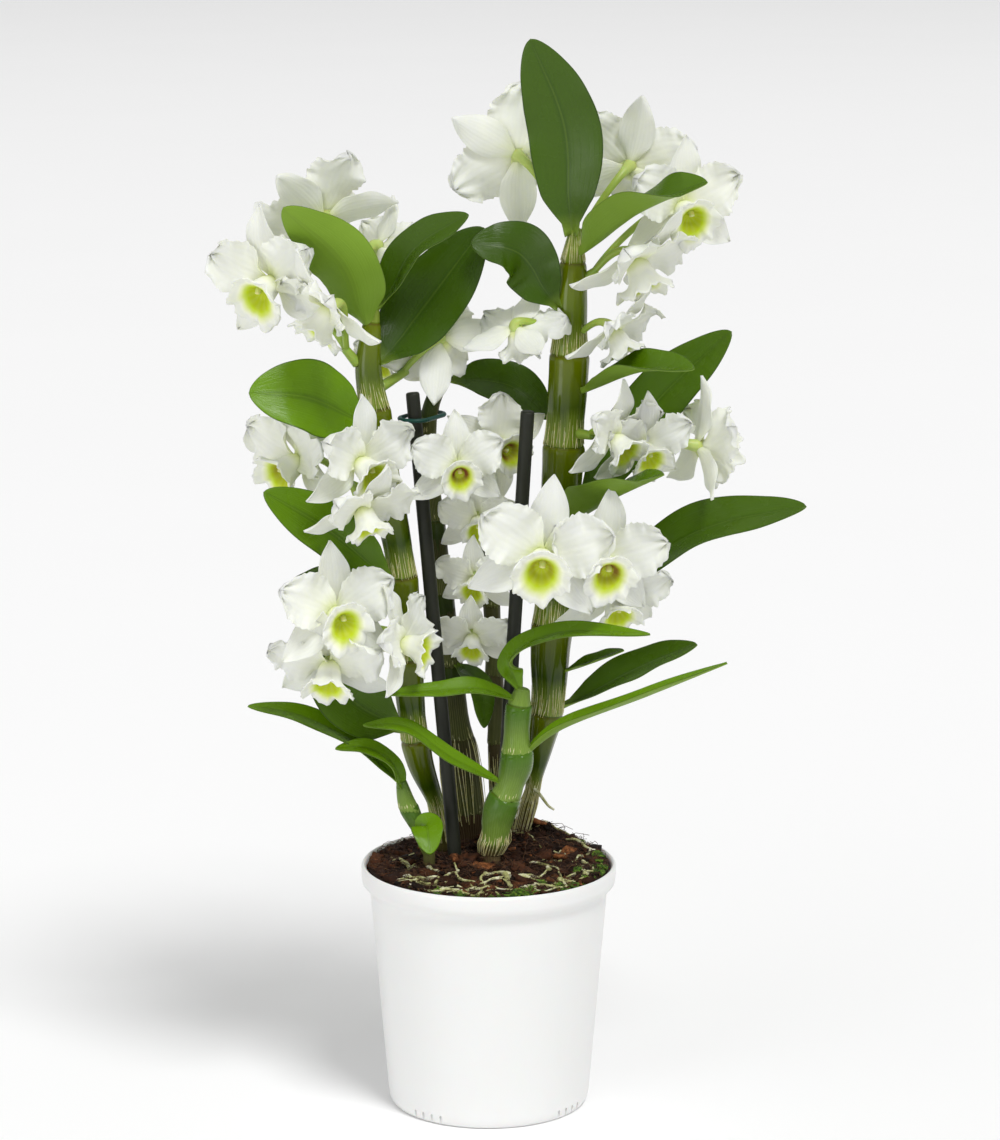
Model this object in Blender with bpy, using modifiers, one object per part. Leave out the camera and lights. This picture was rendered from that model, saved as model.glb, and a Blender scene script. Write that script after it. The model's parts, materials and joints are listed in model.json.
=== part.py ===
"""A white dendrobium orchid in a plastic pot, about half a metre tall.

The plant is several leafy canes that stand in bark. Each cane carries leaves on both
sides and short sprays of blooms on stalks of their own. Two stakes hold the canes up.
The origin is the centre of the pot's underside, +Z is up and -Y is the front.
Lengths below are in millimetres and angles in degrees, unless a name says otherwise.
"""
import bmesh
import bpy
from math import acos, atan2, cos, exp, hypot, pi, radians, sin
from mathutils import Matrix, Vector, noise

MM = 0.001

# The pot
POT_HEIGHT = 116.0
POT_RIM_RADIUS = 60.0
POT_NECK_RADIUS = 55.8
POT_FOOT_RADIUS = 47.3
POT_WALL = 1.5
RIM_WALL = 2.4
POT_FLOOR = 2.5
POT_SIDES = 36
RIM_BAND = 11.0
SLOT_WIDTH = 1.7
SLOT_HEIGHT = 6.0
SLOT_GROUPS = 4
SLOTS_IN_GROUP = 4
SLOT_PITCH_DEG = 6.0
FIRST_SLOT_DEG = -136.0

# The bark mix and what stands in it
GAP = 0.35
LEAF_CLEAR = 1.2
STALK_CLEAR = 1.6
SOIL_EDGE_HEIGHT = 113.0
SOIL_MOUND = 5.0
SOIL_HEAP = 9.0
HEAP_PLACE = (24.0, 34.0)
HEAP_REACH = (26.0, 20.0)
SOIL_LUMP = 1.7
SOIL_LUMP_SIZE = 11.0
SOIL_GRIT_SIZE = 5.0
SOIL_SIDES = 24
SOIL_RINGS = 5
STEM_FOOT_HEIGHT = 96.0
HOLE_LENGTH = 40.0
STAKE_HOLE_LENGTH = 95.0
STAKE_RADIUS = 3.2
# Each stake's buried foot and its top
STAKES = {
    "stake_left": ((-9, -2, 40), (-35, 5, 339)),
    "stake_right": ((1, 16, 40), (18, -5, 332)),
}
CLIP_WIRE = 1.0
CLIP_HEIGHT = 327.0
CLIP_STEPS = 8
# Roots that lie on the bark, as points on its surface from their foot outwards
SURFACE_ROOTS = [
    [(-44, -20), (-34, -30), (-24, -33), (-14, -40), (-4, -47)],
    [(-2, -24), (6, -30), (10, -38), (20, -44), (24, -47)],
    [(8, -30), (16, -33), (26, -34), (30, -40)],
    [(46, -18), (40, -28), (32, -36), (26, -42)],
    [(-42, -2), (-36, -8), (-28, -12), (-24, -20)],
]
ROOT_RADIUS = 1.5
# Flakes of bark that stand out of the surface: x, y, length, turn and tilt
BARK_FLAKES = [(-4, -12, 15, 20, 14), (24, 34, 13, 60, 22), (-26, -26, 12, -35, 16),
               (34, 4, 12, 80, 20), (16, -18, 11, -15, 24), (-40, 16, 13, 40, 18)]

# Leaves and tepals, which are thickest along their middles
BLADE_SIDES = 4
LEAF_THICKNESS = 1.6
LEAF_RINGS = 9
SHOOT_LEAF_RINGS = 7
TEPAL_THICKNESS = 1.1
NOMINAL_SPAN = 76.0
STALK_RADIUS = 1.7
STALK_STEPS = 4
FORK_RADIUS = 2.2

# Colours as linear red, green and blue, then roughness
FINISHES = {
    "pot_plastic": ((0.80, 0.80, 0.79), 0.35),
    "bark_mix": ((0.055, 0.022, 0.012), 0.95),
    "stake_plastic": ((0.012, 0.016, 0.012), 0.55),
    "clip_plastic": ((0.010, 0.055, 0.040), 0.40),
    "cane": ((0.145, 0.175, 0.010), 0.35),
    "old_cane": ((0.150, 0.120, 0.045), 0.60),
    "young_shoot": ((0.090, 0.230, 0.020), 0.40),
    "leaf": ((0.035, 0.130, 0.012), 0.30),
    "petal": ((0.83, 0.85, 0.74), 0.50),
}

# Each cane's route above the bark: x, y, z and radius, from the foot to the tip
CANES = {
    "cane_right": ("cane", 43.0, [
        (15, 30, 121, 3.2), (18, 27, 134, 3.4), (21, 24, 147, 3.6), (24, 23, 166, 6.4),
        (28, 22, 189, 8.4), (29, 22, 215, 9.4), (32, 22, 252, 9.6), (34, 22, 294, 9.6),
        (37, 21, 344, 9.2), (38, 20, 372, 8.0), (39, 19, 398, 5.8), (40, 18, 414, 2.8)]),
    "cane_left": ("cane", 40.0, [
        (-22, 18, 121, 3.4), (-25, 16, 140, 4.2), (-33, 12, 164, 6.4), (-37, 8, 195, 7.0),
        (-40, 4, 250, 7.1), (-46, 0, 290, 7.1), (-52, -2, 330, 7.2), (-55, -3, 350, 6.4),
        (-54, -4, 366, 4.8), (-52, -4, 382, 2.4)]),
    "cane_rear": ("old_cane", 36.0, [
        (-10, 34, 121, 7.0), (-12, 35, 138, 10.0), (-14, 36, 158, 9.0), (-16, 36, 178, 6.6),
        (-20, 34, 220, 5.4), (-25, 28, 270, 4.8), (-28, 20, 304, 4.2), (-28, 16, 324, 4.0),
        (-25, 20, 335, 3.6), (-20, 28, 343, 3.0), (-16, 36, 348, 2.2)]),
    "cane_rear_short": ("old_cane", 34.0, [
        (5, 42, 121, 3.6), (4, 39, 150, 3.9), (3, 36, 190, 4.1), (1, 34, 240, 3.8),
        (-1, 33, 276, 3.2), (-1, 33, 297, 2.2)]),
}
SHOOTS = {
    "shoot_front": ("young_shoot", 22.0, [
        (1, -2, 121, 4.6), (3, -4, 129, 6.2), (5, -5, 142, 8.0), (10, -6, 155, 6.8),
        (13, -6, 166, 7.8), (13, -6, 178, 6.2), (14, -6, 192, 6.0), (16, -6, 202, 3.6)]),
    "shoot_left": ("young_shoot", 18.0, [
        (-28, -4, 121, 2.8), (-32, -4, 132, 3.6), (-38, -4, 145, 4.4), (-41, -5, 157, 2.4)]),
}

# Each leaf: the stem and height it grows from, its middle and tip, the way its upper face
# looks, its width and how far its two halves fold up from the midrib
LEAVES = {
    "leaf_right_crown": ("cane_right", 410, (36, 12, 459), (19, 4, 501), (-0.2, -1, 0.1), 35, 10),
    "leaf_right_crown_side": ("cane_right", 402, (67, -14, 424), (98, -29, 440), (-0.2, 0.4, 0.9), 33, 40),
    "leaf_right_crown_left": ("cane_right", 378, (15, 10, 402), (-8, 4, 408), (-0.4, -0.9, 0.6), 30, 22),
    "leaf_right_upper": ("cane_right", 338, (69, -8, 351), (93, -26, 355), (0, -0.3, 0.95), 24, 40),
    "leaf_right_rear": ("cane_right", 280, (77, 36, 327), (113, 29, 364), (-0.4, -0.9, 0.4), 31, 14),
    "leaf_right_middle": ("cane_right", 277, (54, -11, 291), (80, -23, 306), (-0.2, 0.6, 0.75), 34, 34),
    "leaf_right_long": ("cane_right", 228, (94, 4, 272), (146, -12, 289), (-0.4, -0.6, 0.75), 29, 24),
    "leaf_right_low": ("cane_right", 186, (70, 26, 203), (98, 18, 217), (-0.3, -0.5, 0.8), 21, 26),
    "leaf_right_low_small": ("cane_right", 205, (50, 10, 211), (63, 2, 218), (-0.3, -0.3, 0.9), 10, 30),
    "leaf_left_crown": ("cane_left", 372, (-66, -19, 402), (-92, -26, 428), (0.3, 0.9, 0.2), 33, 10),
    "leaf_left_crown_dark": ("cane_left", 379, (-34, -6, 406), (-9, -8, 423), (-0.3, -0.6, 0.7), 22, 30),
    "leaf_left_crown_right": ("cane_left", 354, (-27, 13, 381), (-2, 16, 414), (-0.3, -1, 0.2), 36, 12),
    "leaf_left_upper": ("cane_left", 327, (-81, -24, 341), (-108, -32, 345), (0.1, -0.9, 0.5), 36, 12),
    "leaf_left_middle": ("cane_left", 252, (-73, -20, 279), (-102, -30, 299), (0.3, -0.9, 0.4), 28, 14),
    "leaf_left_middle_rear": ("cane_left", 236, (-69, 14, 246), (-93, 10, 248), (0.1, -0.4, 0.9), 22, 24),
    "leaf_left_low": ("cane_left", 180, (-67, -6, 199), (-88, -8, 235), (0.5, -0.9, 0.3), 33, 14),
    "leaf_rear_top": ("cane_rear", 342, (10, 42, 336), (29, 34, 322), (0.2, -0.8, 0.5), 24, 14),
    "leaf_rear_low": ("cane_rear", 205, (-4, 14, 197), (-2, 4, 180), (0.3, -0.8, 0.5), 13, 14),
}
# The young shoots' own leaves: height, then route points, face, width and fold
SHOOT_LEAVES = {
    "shoot_front": [
        (198, (11, -9, 217), (33, -16, 230), (74, -31, 233), (-0.2, -0.4, 0.9), 15, 24),
        (195, (-4, -15, 203), (-22, -22, 204), (-47, -32, 205), (0, -0.5, 0.9), 13, 24),
        (166, (34, -9, 183), (73, -14, 200), (110, -20, 217), (-0.2, -0.1, 0.97), 12, 36),
        (154, (-17, -15, 170), (-38, -20, 186), (-58, -22, 188), (0.3, -0.5, 0.8), 11, 20)],
    "shoot_left": [
        (154, (-60, -8, 174), (-87, -15, 190), (-111, -22, 197), (0.3, -0.5, 0.9), 15, 22),
        (150, (-45, -10, 166), (-57, -15, 175), (-71, -19, 176), (0.1, -0.5, 0.9), 12, 20),
        (130, (-29, -14, 137), (-28, -20, 134), (-27, -26, 127), (0, -0.8, 0.5), 16, 20)],
}

# Each spray: the cane and height it grows from, the place where its stalk forks, if it has
# several blooms, and its blooms. Each bloom: the place where its tepals meet, the way it
# faces (azimuth from the front towards +X, then elevation), its roll and its span.
SPRAYS = {
    "spray_left_top": ("cane_left", 354, (-66, -7, 362), [
        ((-97, -6, 393), (-36, -5), -8, 70),
        ((-75, 16, 418), (-160, 35), 50, 70),
        ((-69, -32, 385), (-65, -32), 0, 64)]),
    "bloom_left_top_inner": ("cane_left", 376, None, [((-52, 21, 405), (130, -20), 0, 50)]),
    "spray_mid_top": ("cane_left", 342, (-38, 12, 348), [
        ((-22, 15, 363), (-160, -20), 40, 64),
        ((-46, 32, 352), (-30, -15), 0, 38)]),
    "bloom_mid_top_right": ("cane_right", 366, None, [((12, 8, 370), (150, -45), 0, 52)]),
    "bloom_right_top_left": ("cane_right", 411, None, [((14, 32, 445), (-165, 5), 58, 72)]),
    "bloom_right_top_rear": ("cane_right", 408, None, [((65, 34, 440), (170, 10), -14, 68)]),
    "spray_right_top": ("cane_right", 390, (50, 18, 394), [
        ((88, 27, 423), (25, 0), 0, 66),
        ((66, 8, 403), (56, -42), 0, 70)]),
    "bloom_right_top_low": ("cane_right", 366, None, [((56, 5, 370), (62, -38), 0, 55)]),
    "spray_right_mid": ("cane_right", 318, (48, 10, 318), [
        ((56, -3, 321), (48, -15), 0, 56),
        ((70, 8, 315), (30, -12), 0, 54),
        ((96, 16, 312), (110, 0), 0, 66)]),
    "spray_centre": ("cane_rear_short", 288, (-4, 20, 298), [
        ((-15, -6, 307), (12, 5), 0, 52),
        ((3, 21, 312), (18, 0), -60, 56)]),
    "bloom_centre_middle": ("cane_rear_short", 262, None, [((-5, 20, 278), (0, -12), 0, 44)]),
    "bloom_centre_low": ("cane_rear_short", 246, None, [((-5, 17, 250), (-20, -15), 0, 44)]),
    "bloom_centre_foot": ("cane_rear_short", 222, None, [((-7, 17, 223), (-10, -25), 0, 46)]),
    "spray_front": ("cane_right", 252, (34, 2, 256), [
        ((24, -30, 271), (5, 0), 12, 74),
        ((51, -18, 266), (20, 0), 10, 68),
        ((57, -3, 247), (20, -25), 0, 60)]),
    "spray_left_mid": ("cane_left", 292, (-66, -14, 301), [
        ((-86, 8, 308), (-50, -5), 0, 70),
        ((-60, -30, 314), (42, -5), 0, 62),
        ((-58, -34, 295), (40, -40), 0, 58)]),
    "spray_left_low": ("cane_left", 226, (-54, -14, 232), [
        ((-71, -34, 244), (25, 10), 0, 66),
        ((-72, -28, 221), (-10, -30), 0, 64),
        ((-42, -27, 228), (65, 12), -15, 58)]),
}
# A bloom of nominal span. The three sepals sit behind the two petals, which are broader and
# waved, and in the middle is the lip, a trumpet that looks out and a little down.
SEPAL_LENGTH = 38.0
SEPAL_WIDTH = 19.0
SEPAL_RINGS = 5
PETAL_LENGTH = 35.0
PETAL_WIDTH = 28.0
PETAL_RINGS = 6
PETAL_WAVE = 1.8
PETAL_AHEAD = 2.4
# Clock angle from the top, then the lean forwards at the foot and at the tip
SEPALS = [(0, 22, -14), (126, 10, -16), (-126, 10, -16)]
PETALS = [(64, 24, -6), (-64, 24, -6)]
LIP_SIDES = 8
LIP_RADIUS = 13.5
LIP_REACH = 20.0
LIP_DROOP_DEG = 20.0
# Share of the lip's radius and of its reach, from its outer foot round the rim to its throat
LIP_PROFILE = [(0.0, 0.0), (0.52, 0.40), (1.0, 1.0), (0.36, 0.60), (0.0, 0.30)]


def clear_scene():
    for old in list(bpy.data.objects):
        bpy.data.objects.remove(old, do_unlink=True)


def new_collection(name):
    made = bpy.data.collections.new(name)
    bpy.context.scene.collection.children.link(made)
    return made


def make_materials():
    made = {}
    for name, (colour, roughness) in FINISHES.items():
        material = bpy.data.materials.new(name)
        material.use_nodes = True
        shader = material.node_tree.nodes["Principled BSDF"]
        shader.inputs["Base Color"].default_value = (*colour, 1.0)
        shader.inputs["Roughness"].default_value = roughness
        material.diffuse_color = (*colour, 1.0)
        made[name] = material
    return made


def mesh_object(name, bm, collection):
    """The bmesh, drawn in millimetres, as an object in metres with its faces pointing out."""
    bmesh.ops.recalc_face_normals(bm, faces=bm.faces)
    bmesh.ops.scale(bm, vec=(MM, MM, MM), verts=bm.verts)
    mesh = bpy.data.meshes.new(name)
    bm.to_mesh(mesh)
    bm.free()
    made = bpy.data.objects.new(name, mesh)
    collection.objects.link(made)
    return made


def finish(obj, materials, slot):
    obj.data.materials.clear()
    obj.data.materials.append(materials[slot])
    obj.data.shade_smooth()
    return obj


def fixed_mesh(obj, weld=0.01):
    """Turns an object's modifiers or its curve into a plain mesh of the same name."""
    graph = bpy.context.evaluated_depsgraph_get()
    mesh = bpy.data.meshes.new_from_object(obj.evaluated_get(graph))
    name, collection = obj.name, obj.users_collection[0]
    bpy.data.objects.remove(obj, do_unlink=True)
    made = bpy.data.objects.new(name, mesh)
    collection.objects.link(made)
    bm = bmesh.new()
    bm.from_mesh(mesh)
    bmesh.ops.remove_doubles(bm, verts=bm.verts, dist=weld * MM)
    bm.to_mesh(mesh)
    bm.free()
    return made


def fused(name, bodies, collection):
    """One body from several that sink into each other, by one union on a collection.

    The exact solver leaves faces that touch where thin blades meet, so this one is Manifold.
    """
    joining = new_collection("joining")
    for body in bodies[1:]:
        collection.objects.unlink(body)
        joining.objects.link(body)
    join = bodies[0].modifiers.new("join", "BOOLEAN")
    join.operation = "UNION"
    join.operand_type = "COLLECTION"
    join.collection = joining
    join.solver = "MANIFOLD"
    made = fixed_mesh(bodies[0], weld=0.0005)
    for body in list(joining.objects):
        bpy.data.objects.remove(body, do_unlink=True)
    bpy.data.collections.remove(joining)
    made.name = name
    return made


def tube(name, points, collection, resolution=2):
    """A round bar through (place, radius) points, with flat ends."""
    curve = bpy.data.curves.new(name, "CURVE")
    curve.dimensions = "3D"
    curve.bevel_depth = MM
    curve.bevel_resolution = resolution
    curve.use_fill_caps = True
    spline = curve.splines.new("POLY")
    spline.points.add(len(points) - 1)
    for knot, (place, radius) in zip(spline.points, points):
        knot.co = (*(place * MM), 1.0)
        knot.radius = radius
    made = bpy.data.objects.new(name, curve)
    collection.objects.link(made)
    return fixed_mesh(made)


def smooth_point(knots, t):
    """A point on the smooth curve through the knots, t from 0 to 1, for vectors of any size."""
    last = len(knots) - 1
    at = min(max(t, 0.0), 1.0) * last
    i = min(int(at), last - 1)
    f = at - i
    b, c = knots[i], knots[i + 1]
    a = knots[i - 1] if i > 0 else b * 2 - c
    d = knots[i + 2] if i + 2 <= last else c * 2 - b
    return (b * 2 + (c - a) * f + (a * 2 - b * 5 + c * 4 - d) * f * f
            + (b * 3 - a - c * 3 + d) * f ** 3) * 0.5


class Stem:
    """A cane or shoot: its axis and radius at any height above the bark."""

    def __init__(self, route, joint_pitch):
        self.knots = [Vector(row) for row in route]
        self.foot, self.top = route[0][2], route[-1][2]
        self.joint_pitch = joint_pitch

    def at(self, height):
        """(axis point, radius) at a height, found by halving."""
        low, high = 0.0, 1.0
        for _ in range(24):
            middle = (low + high) / 2
            if smooth_point(self.knots, middle)[2] < height:
                low = middle
            else:
                high = middle
        found = smooth_point(self.knots, low)
        return Vector(found[:3]), found[3]

    def rings(self):
        """(place, radius) down the stem: each joint is a narrow ring with fuller ones beside it."""
        made = [(Vector((*self.knots[0][:2], STEM_FOOT_HEIGHT)), self.knots[0][3])]
        made.append((Vector(self.knots[0][:3]), self.knots[0][3]))
        height = self.foot + 0.30 * self.joint_pitch
        while height < self.top - 0.25 * self.joint_pitch:
            for step, swell in ((0.0, 0.88), (0.15, 1.04), (0.60, 1.0)):
                place, radius = self.at(height + step * self.joint_pitch)
                if place.z < self.top - 2.0:
                    made.append((place, radius * swell))
            height += self.joint_pitch
        made.append(self.at(self.top))
        return made

    def surface_point(self, height, towards, clear):
        """The point that far off the stem's skin, on the side that looks towards a place."""
        axis, radius = self.at(height)
        out = (towards - axis).to_2d().normalized().to_3d()
        return axis + out * (radius * 1.04 + clear)


def blade(name, collection, sides, rings, place):
    """A thin body with sharp edges and pointed ends, from a sphere whose poles are its ends.

    place(along, across, side) says where each point goes: along from 0 to 1, across from
    -1 to 1 between the two edges, and side from -1 to 1 between the two faces.
    """
    bm = bmesh.new()
    bmesh.ops.create_uvsphere(bm, u_segments=sides, v_segments=rings, radius=1.0)
    for vertex in bm.verts:
        x, y, z = vertex.co
        spread = max(hypot(x, y), 1e-9)
        along = acos(max(-1.0, min(1.0, -z))) / pi
        at_end = spread < 1e-4
        across = 0.0 if at_end else x / spread
        side = 0.0 if at_end else y / spread
        vertex.co = place(along, across, side)
    bmesh.ops.triangulate(bm, faces=bm.faces, quad_method="SHORT_EDGE")
    return mesh_object(name, bm, collection)


def leaf_outline(along, base=0.45):
    """Half width of a strap leaf as a share of its widest, blunt at the tip."""
    swell = sin(pi * along ** 0.95) ** 0.54
    return max(swell, base * (1 - along) ** 3) if 0 < along < 1 else 0.0


def leaf_blade(name, collection, knots, face, width, fold_deg, rings=LEAF_RINGS):
    """A leaf along a smooth route, its halves folded up from the midrib."""
    upward = Vector(face).normalized()
    fold = radians(fold_deg)

    def place(along, across, side):
        centre = smooth_point(knots, along)
        ahead = smooth_point(knots, min(along + 0.02, 1.0))
        behind = smooth_point(knots, max(along - 0.02, 0.0))
        forward = (ahead - behind).normalized()
        right = forward.cross(upward).normalized()
        normal = right.cross(forward)
        half = 0.5 * width * leaf_outline(along)
        reach = half * across
        lift = abs(reach) * sin(fold)
        return (centre + right * reach * cos(fold) + normal * lift
                + normal * side * 0.5 * LEAF_THICKNESS)

    return blade(name, collection, BLADE_SIDES, rings, place)


def bloom_frame(at, facing, roll):
    """The turn from a bloom that faces the front, dorsal sepal up, to where this one looks."""
    azimuth, elevation = facing
    turn = (Matrix.Rotation(radians(azimuth), 4, "Z") @ Matrix.Rotation(-radians(elevation), 4, "X")
            @ Matrix.Rotation(radians(roll), 4, "Y"))
    return Matrix.Translation(Vector(at)) @ turn


def tepal_outline(along, foot=0.5):
    """Half width of a tepal as a share of its widest: narrow at its foot, round at its tip."""
    if not 0 < along < 1:
        return 0.0
    return (foot + (1 - foot) * min(1.0, along / 0.3)) * sin(pi * along ** 1.05) ** 0.6


def tepal(name, collection, frame, row, shape, scale):
    """A sepal or petal, whose halves cup forwards and whose edge waves."""
    clock, lean_foot, lean_tip = row
    length, width, ahead, wave, rings = shape
    turn = frame @ Matrix.Rotation(radians(clock), 4, "Y")
    foot, tip = radians(lean_foot), radians(lean_tip)

    def place(along, across, side):
        along *= 1.25 - 0.25 * along
        lean = foot + (tip - foot) * along / 2
        half = 0.5 * width * tepal_outline(along)
        cup = 0.09 * width * across * across
        ripple = wave * across * sin(4 * pi * along)
        forward = ahead + sin(lean) * length * along + cup + ripple
        here = Vector((half * across, -forward, cos(lean) * length * along)) * scale
        here.y += 0.5 * TEPAL_THICKNESS * side
        return turn @ here

    return blade(name, collection, BLADE_SIDES, rings, place)


def lip(name, collection, frame, scale):
    """The trumpet in a bloom's middle: open at the front, ruffled, and longest below."""
    turn = frame @ Matrix.Rotation(radians(LIP_DROOP_DEG), 4, "X")

    def place(along, across, side):
        spread, out = LIP_PROFILE[round(along * (len(LIP_PROFILE) - 1))]
        angle = atan2(side, across)
        below = max(0.0, -sin(angle))
        rim = 1.0 if spread == 1.0 else 0.0
        radius = spread * LIP_RADIUS * (1 + rim * (0.28 * below + 0.05 * cos(4 * angle)))
        forward = PETAL_AHEAD / 2 + out * LIP_REACH * (1 - rim * 0.14 * below)
        forward += rim * 1.2 * cos(4 * angle)
        return turn @ (Vector((radius * cos(angle), -forward, radius * sin(angle))) * scale)

    return blade(name, collection, LIP_SIDES, len(LIP_PROFILE) - 1, place)


def stalk_points(root, frame, scale):
    """The stalk to the back of a bloom, hooked over behind it and swollen there."""
    facing = (frame.to_3x3() @ Vector((0, -1, 0))).normalized()
    end = frame.translation + facing * PETAL_AHEAD * scale
    away = (end - root).length
    first = root + (end - root).normalized() * 0.25 * away + Vector((0, 0, 0.15 * away))
    last = end - facing * max(11.0 * scale, 0.3 * away) + Vector((0, 0, 0.05 * away))
    made = []
    for i in range(STALK_STEPS + 1):
        t = i / STALK_STEPS
        place = (root * (1 - t) ** 3 + first * 3 * t * (1 - t) ** 2
                 + last * 3 * t * t * (1 - t) + end * t ** 3)
        made.append((place, STALK_RADIUS * (0.85 + 0.25 * t + 0.9 * t ** 6)))
    return made


def bloom_bodies(name, root, row, collection):
    """A bloom's stalk from that root, its three sepals, two petals and lip."""
    at, facing, roll, span = row
    scale = span / NOMINAL_SPAN
    frame = bloom_frame(at, facing, roll)
    bodies = [tube(name + "_stalk", stalk_points(root, frame, scale), collection, resolution=0)]
    sepal_shape = (SEPAL_LENGTH, SEPAL_WIDTH, 0.0, 0.0, SEPAL_RINGS)
    petal_shape = (PETAL_LENGTH, PETAL_WIDTH, PETAL_AHEAD, PETAL_WAVE, PETAL_RINGS)
    for i, sepal_row in enumerate(SEPALS):
        bodies.append(tepal(f"{name}_sepal_{i}", collection, frame, sepal_row, sepal_shape, scale))
    for i, petal_row in enumerate(PETALS):
        bodies.append(tepal(f"{name}_petal_{i}", collection, frame, petal_row, petal_shape, scale))
    bodies.append(lip(name + "_lip", collection, frame, scale))
    return bodies


def make_spray(name, stems, row, collection):
    """One bloom, or several whose stalks part at a fork, as one body."""
    cane, height, fork, blooms = row
    towards = Vector(fork or blooms[0][0])
    root = stems[cane].surface_point(height, towards, STALK_CLEAR)
    bodies = []
    if fork:
        trunk = [(root, FORK_RADIUS), (towards, FORK_RADIUS)]
        bodies.append(tube(name + "_stem", trunk, collection, resolution=0))
        root = towards.lerp(root, FORK_RADIUS / (towards - root).length)
    for i, bloom in enumerate(blooms):
        bodies += bloom_bodies(f"{name}_{i}", root, bloom, collection)
    return fused(name, bodies, collection)


def make_shoot(name, stem, collection):
    """A young shoot with its leaves, which sink into it."""
    bodies = [tube(name, stem.rings(), collection)]
    for i, (height, *route, face, width, fold) in enumerate(SHOOT_LEAVES[name]):
        axis, _ = stem.at(height)
        knots = [axis, *map(Vector, route)]
        bodies.append(leaf_blade(f"{name}_leaf_{i}", collection, knots, face, width, fold,
                                 rings=SHOOT_LEAF_RINGS))
    return fused(name, bodies, collection)


def make_leaf(name, stems, row, collection):
    stem, height, middle, tip, face, width, fold = row
    middle, tip = Vector(middle), Vector(tip)
    base = stems[stem].surface_point(height, middle, LEAF_CLEAR)
    return leaf_blade(name, collection, [base, middle, tip], face, width, fold)


def turned(name, profile, steps, collection):
    """A round body from a profile of (radius, height), which runs down its outer side."""
    mesh = bpy.data.meshes.new(name)
    rows = [(radius * MM, 0.0, height * MM) for radius, height in profile]
    mesh.from_pydata(rows, [(i, i + 1) for i in range(len(rows) - 1)], [])
    made = bpy.data.objects.new(name, mesh)
    collection.objects.link(made)
    spin = made.modifiers.new("spin", "SCREW")
    spin.steps = spin.render_steps = steps
    spin.use_merge_vertices = True
    spin.merge_threshold = 0.00001
    return fixed_mesh(made)


def cylinder(name, collection, foot, top, radius, sides=12):
    """A plain bar between two points."""
    axis = top - foot
    bm = bmesh.new()
    bmesh.ops.create_cone(bm, cap_ends=True, segments=sides, radius1=radius, radius2=radius,
                          depth=axis.length)
    bmesh.ops.rotate(bm, verts=bm.verts, matrix=axis.to_track_quat("Z", "Y").to_matrix())
    bmesh.ops.translate(bm, verts=bm.verts, vec=(foot + top) / 2)
    return mesh_object(name, bm, collection)


def cut(obj, cutters):
    """Takes every body of a collection out of the object."""
    slot = obj.modifiers.new("cut", "BOOLEAN")
    slot.operation = "DIFFERENCE"
    slot.operand_type = "COLLECTION"
    slot.collection = cutters
    slot.solver = "EXACT"
    return fixed_mesh(obj)


def make_pot(collection):
    inner_foot = POT_FOOT_RADIUS - POT_WALL
    profile = [
        (0, POT_FLOOR), (inner_foot, POT_FLOOR),
        (POT_NECK_RADIUS - POT_WALL, POT_HEIGHT - RIM_BAND), (POT_RIM_RADIUS - RIM_WALL, POT_HEIGHT - 2.5),
        (POT_RIM_RADIUS - 1.9, POT_HEIGHT - 0.4), (POT_RIM_RADIUS - 1.0, POT_HEIGHT),
        (POT_RIM_RADIUS, POT_HEIGHT - 2.0), (POT_RIM_RADIUS - 0.4, POT_HEIGHT - 8.0),
        (POT_NECK_RADIUS + 1.6, POT_HEIGHT - RIM_BAND), (POT_NECK_RADIUS, POT_HEIGHT - RIM_BAND - 2.5),
        (POT_FOOT_RADIUS + 0.3, 4.0), (POT_FOOT_RADIUS - 1.8, 0.0), (0, 0)]
    pot = turned("pot", profile, POT_SIDES, collection)
    cutters = new_collection("slot_cutters")
    for group in range(SLOT_GROUPS):
        for step in range(SLOTS_IN_GROUP):
            angle = radians(FIRST_SLOT_DEG + group * 360 / SLOT_GROUPS + step * SLOT_PITCH_DEG)
            bm = bmesh.new()
            bmesh.ops.create_cube(bm, size=1.0)
            bmesh.ops.scale(bm, vec=(3.2, SLOT_WIDTH, SLOT_HEIGHT), verts=bm.verts)
            out = POT_FOOT_RADIUS + 0.6
            bmesh.ops.translate(bm, vec=(out, 0, SLOT_HEIGHT / 2 - 1.0), verts=bm.verts)
            bmesh.ops.rotate(bm, verts=bm.verts, matrix=Matrix.Rotation(angle, 3, "Z"))
            mesh_object(f"slot_cutter_{group}_{step}", bm, cutters)
    pot = cut(pot, cutters)
    remove_collection(cutters)
    return pot


def remove_collection(collection):
    for obj in list(collection.objects):
        bpy.data.objects.remove(obj, do_unlink=True)
    bpy.data.collections.remove(collection)


def soil_height(x, y):
    """The bark's surface: a mound, heaped at the rear, with lumps that die out at the pot's wall."""
    share = min(1.0, hypot(x, y) / (POT_RIM_RADIUS - RIM_WALL))
    lumps = noise.noise(Vector((x, y, 7.0)) / SOIL_LUMP_SIZE)
    lumps += 0.5 * noise.noise(Vector((x, y, 3.0)) / SOIL_GRIT_SIZE)
    across, back = (x - HEAP_PLACE[0]) / HEAP_REACH[0], (y - HEAP_PLACE[1]) / HEAP_REACH[1]
    heap = SOIL_HEAP * exp(-across ** 2 - back ** 2)
    mound = SOIL_MOUND * (1 - share ** 2) + heap * (1 - share ** 8)
    return SOIL_EDGE_HEIGHT + mound + 2 * SOIL_LUMP * lumps * (1 - share ** 6)


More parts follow.
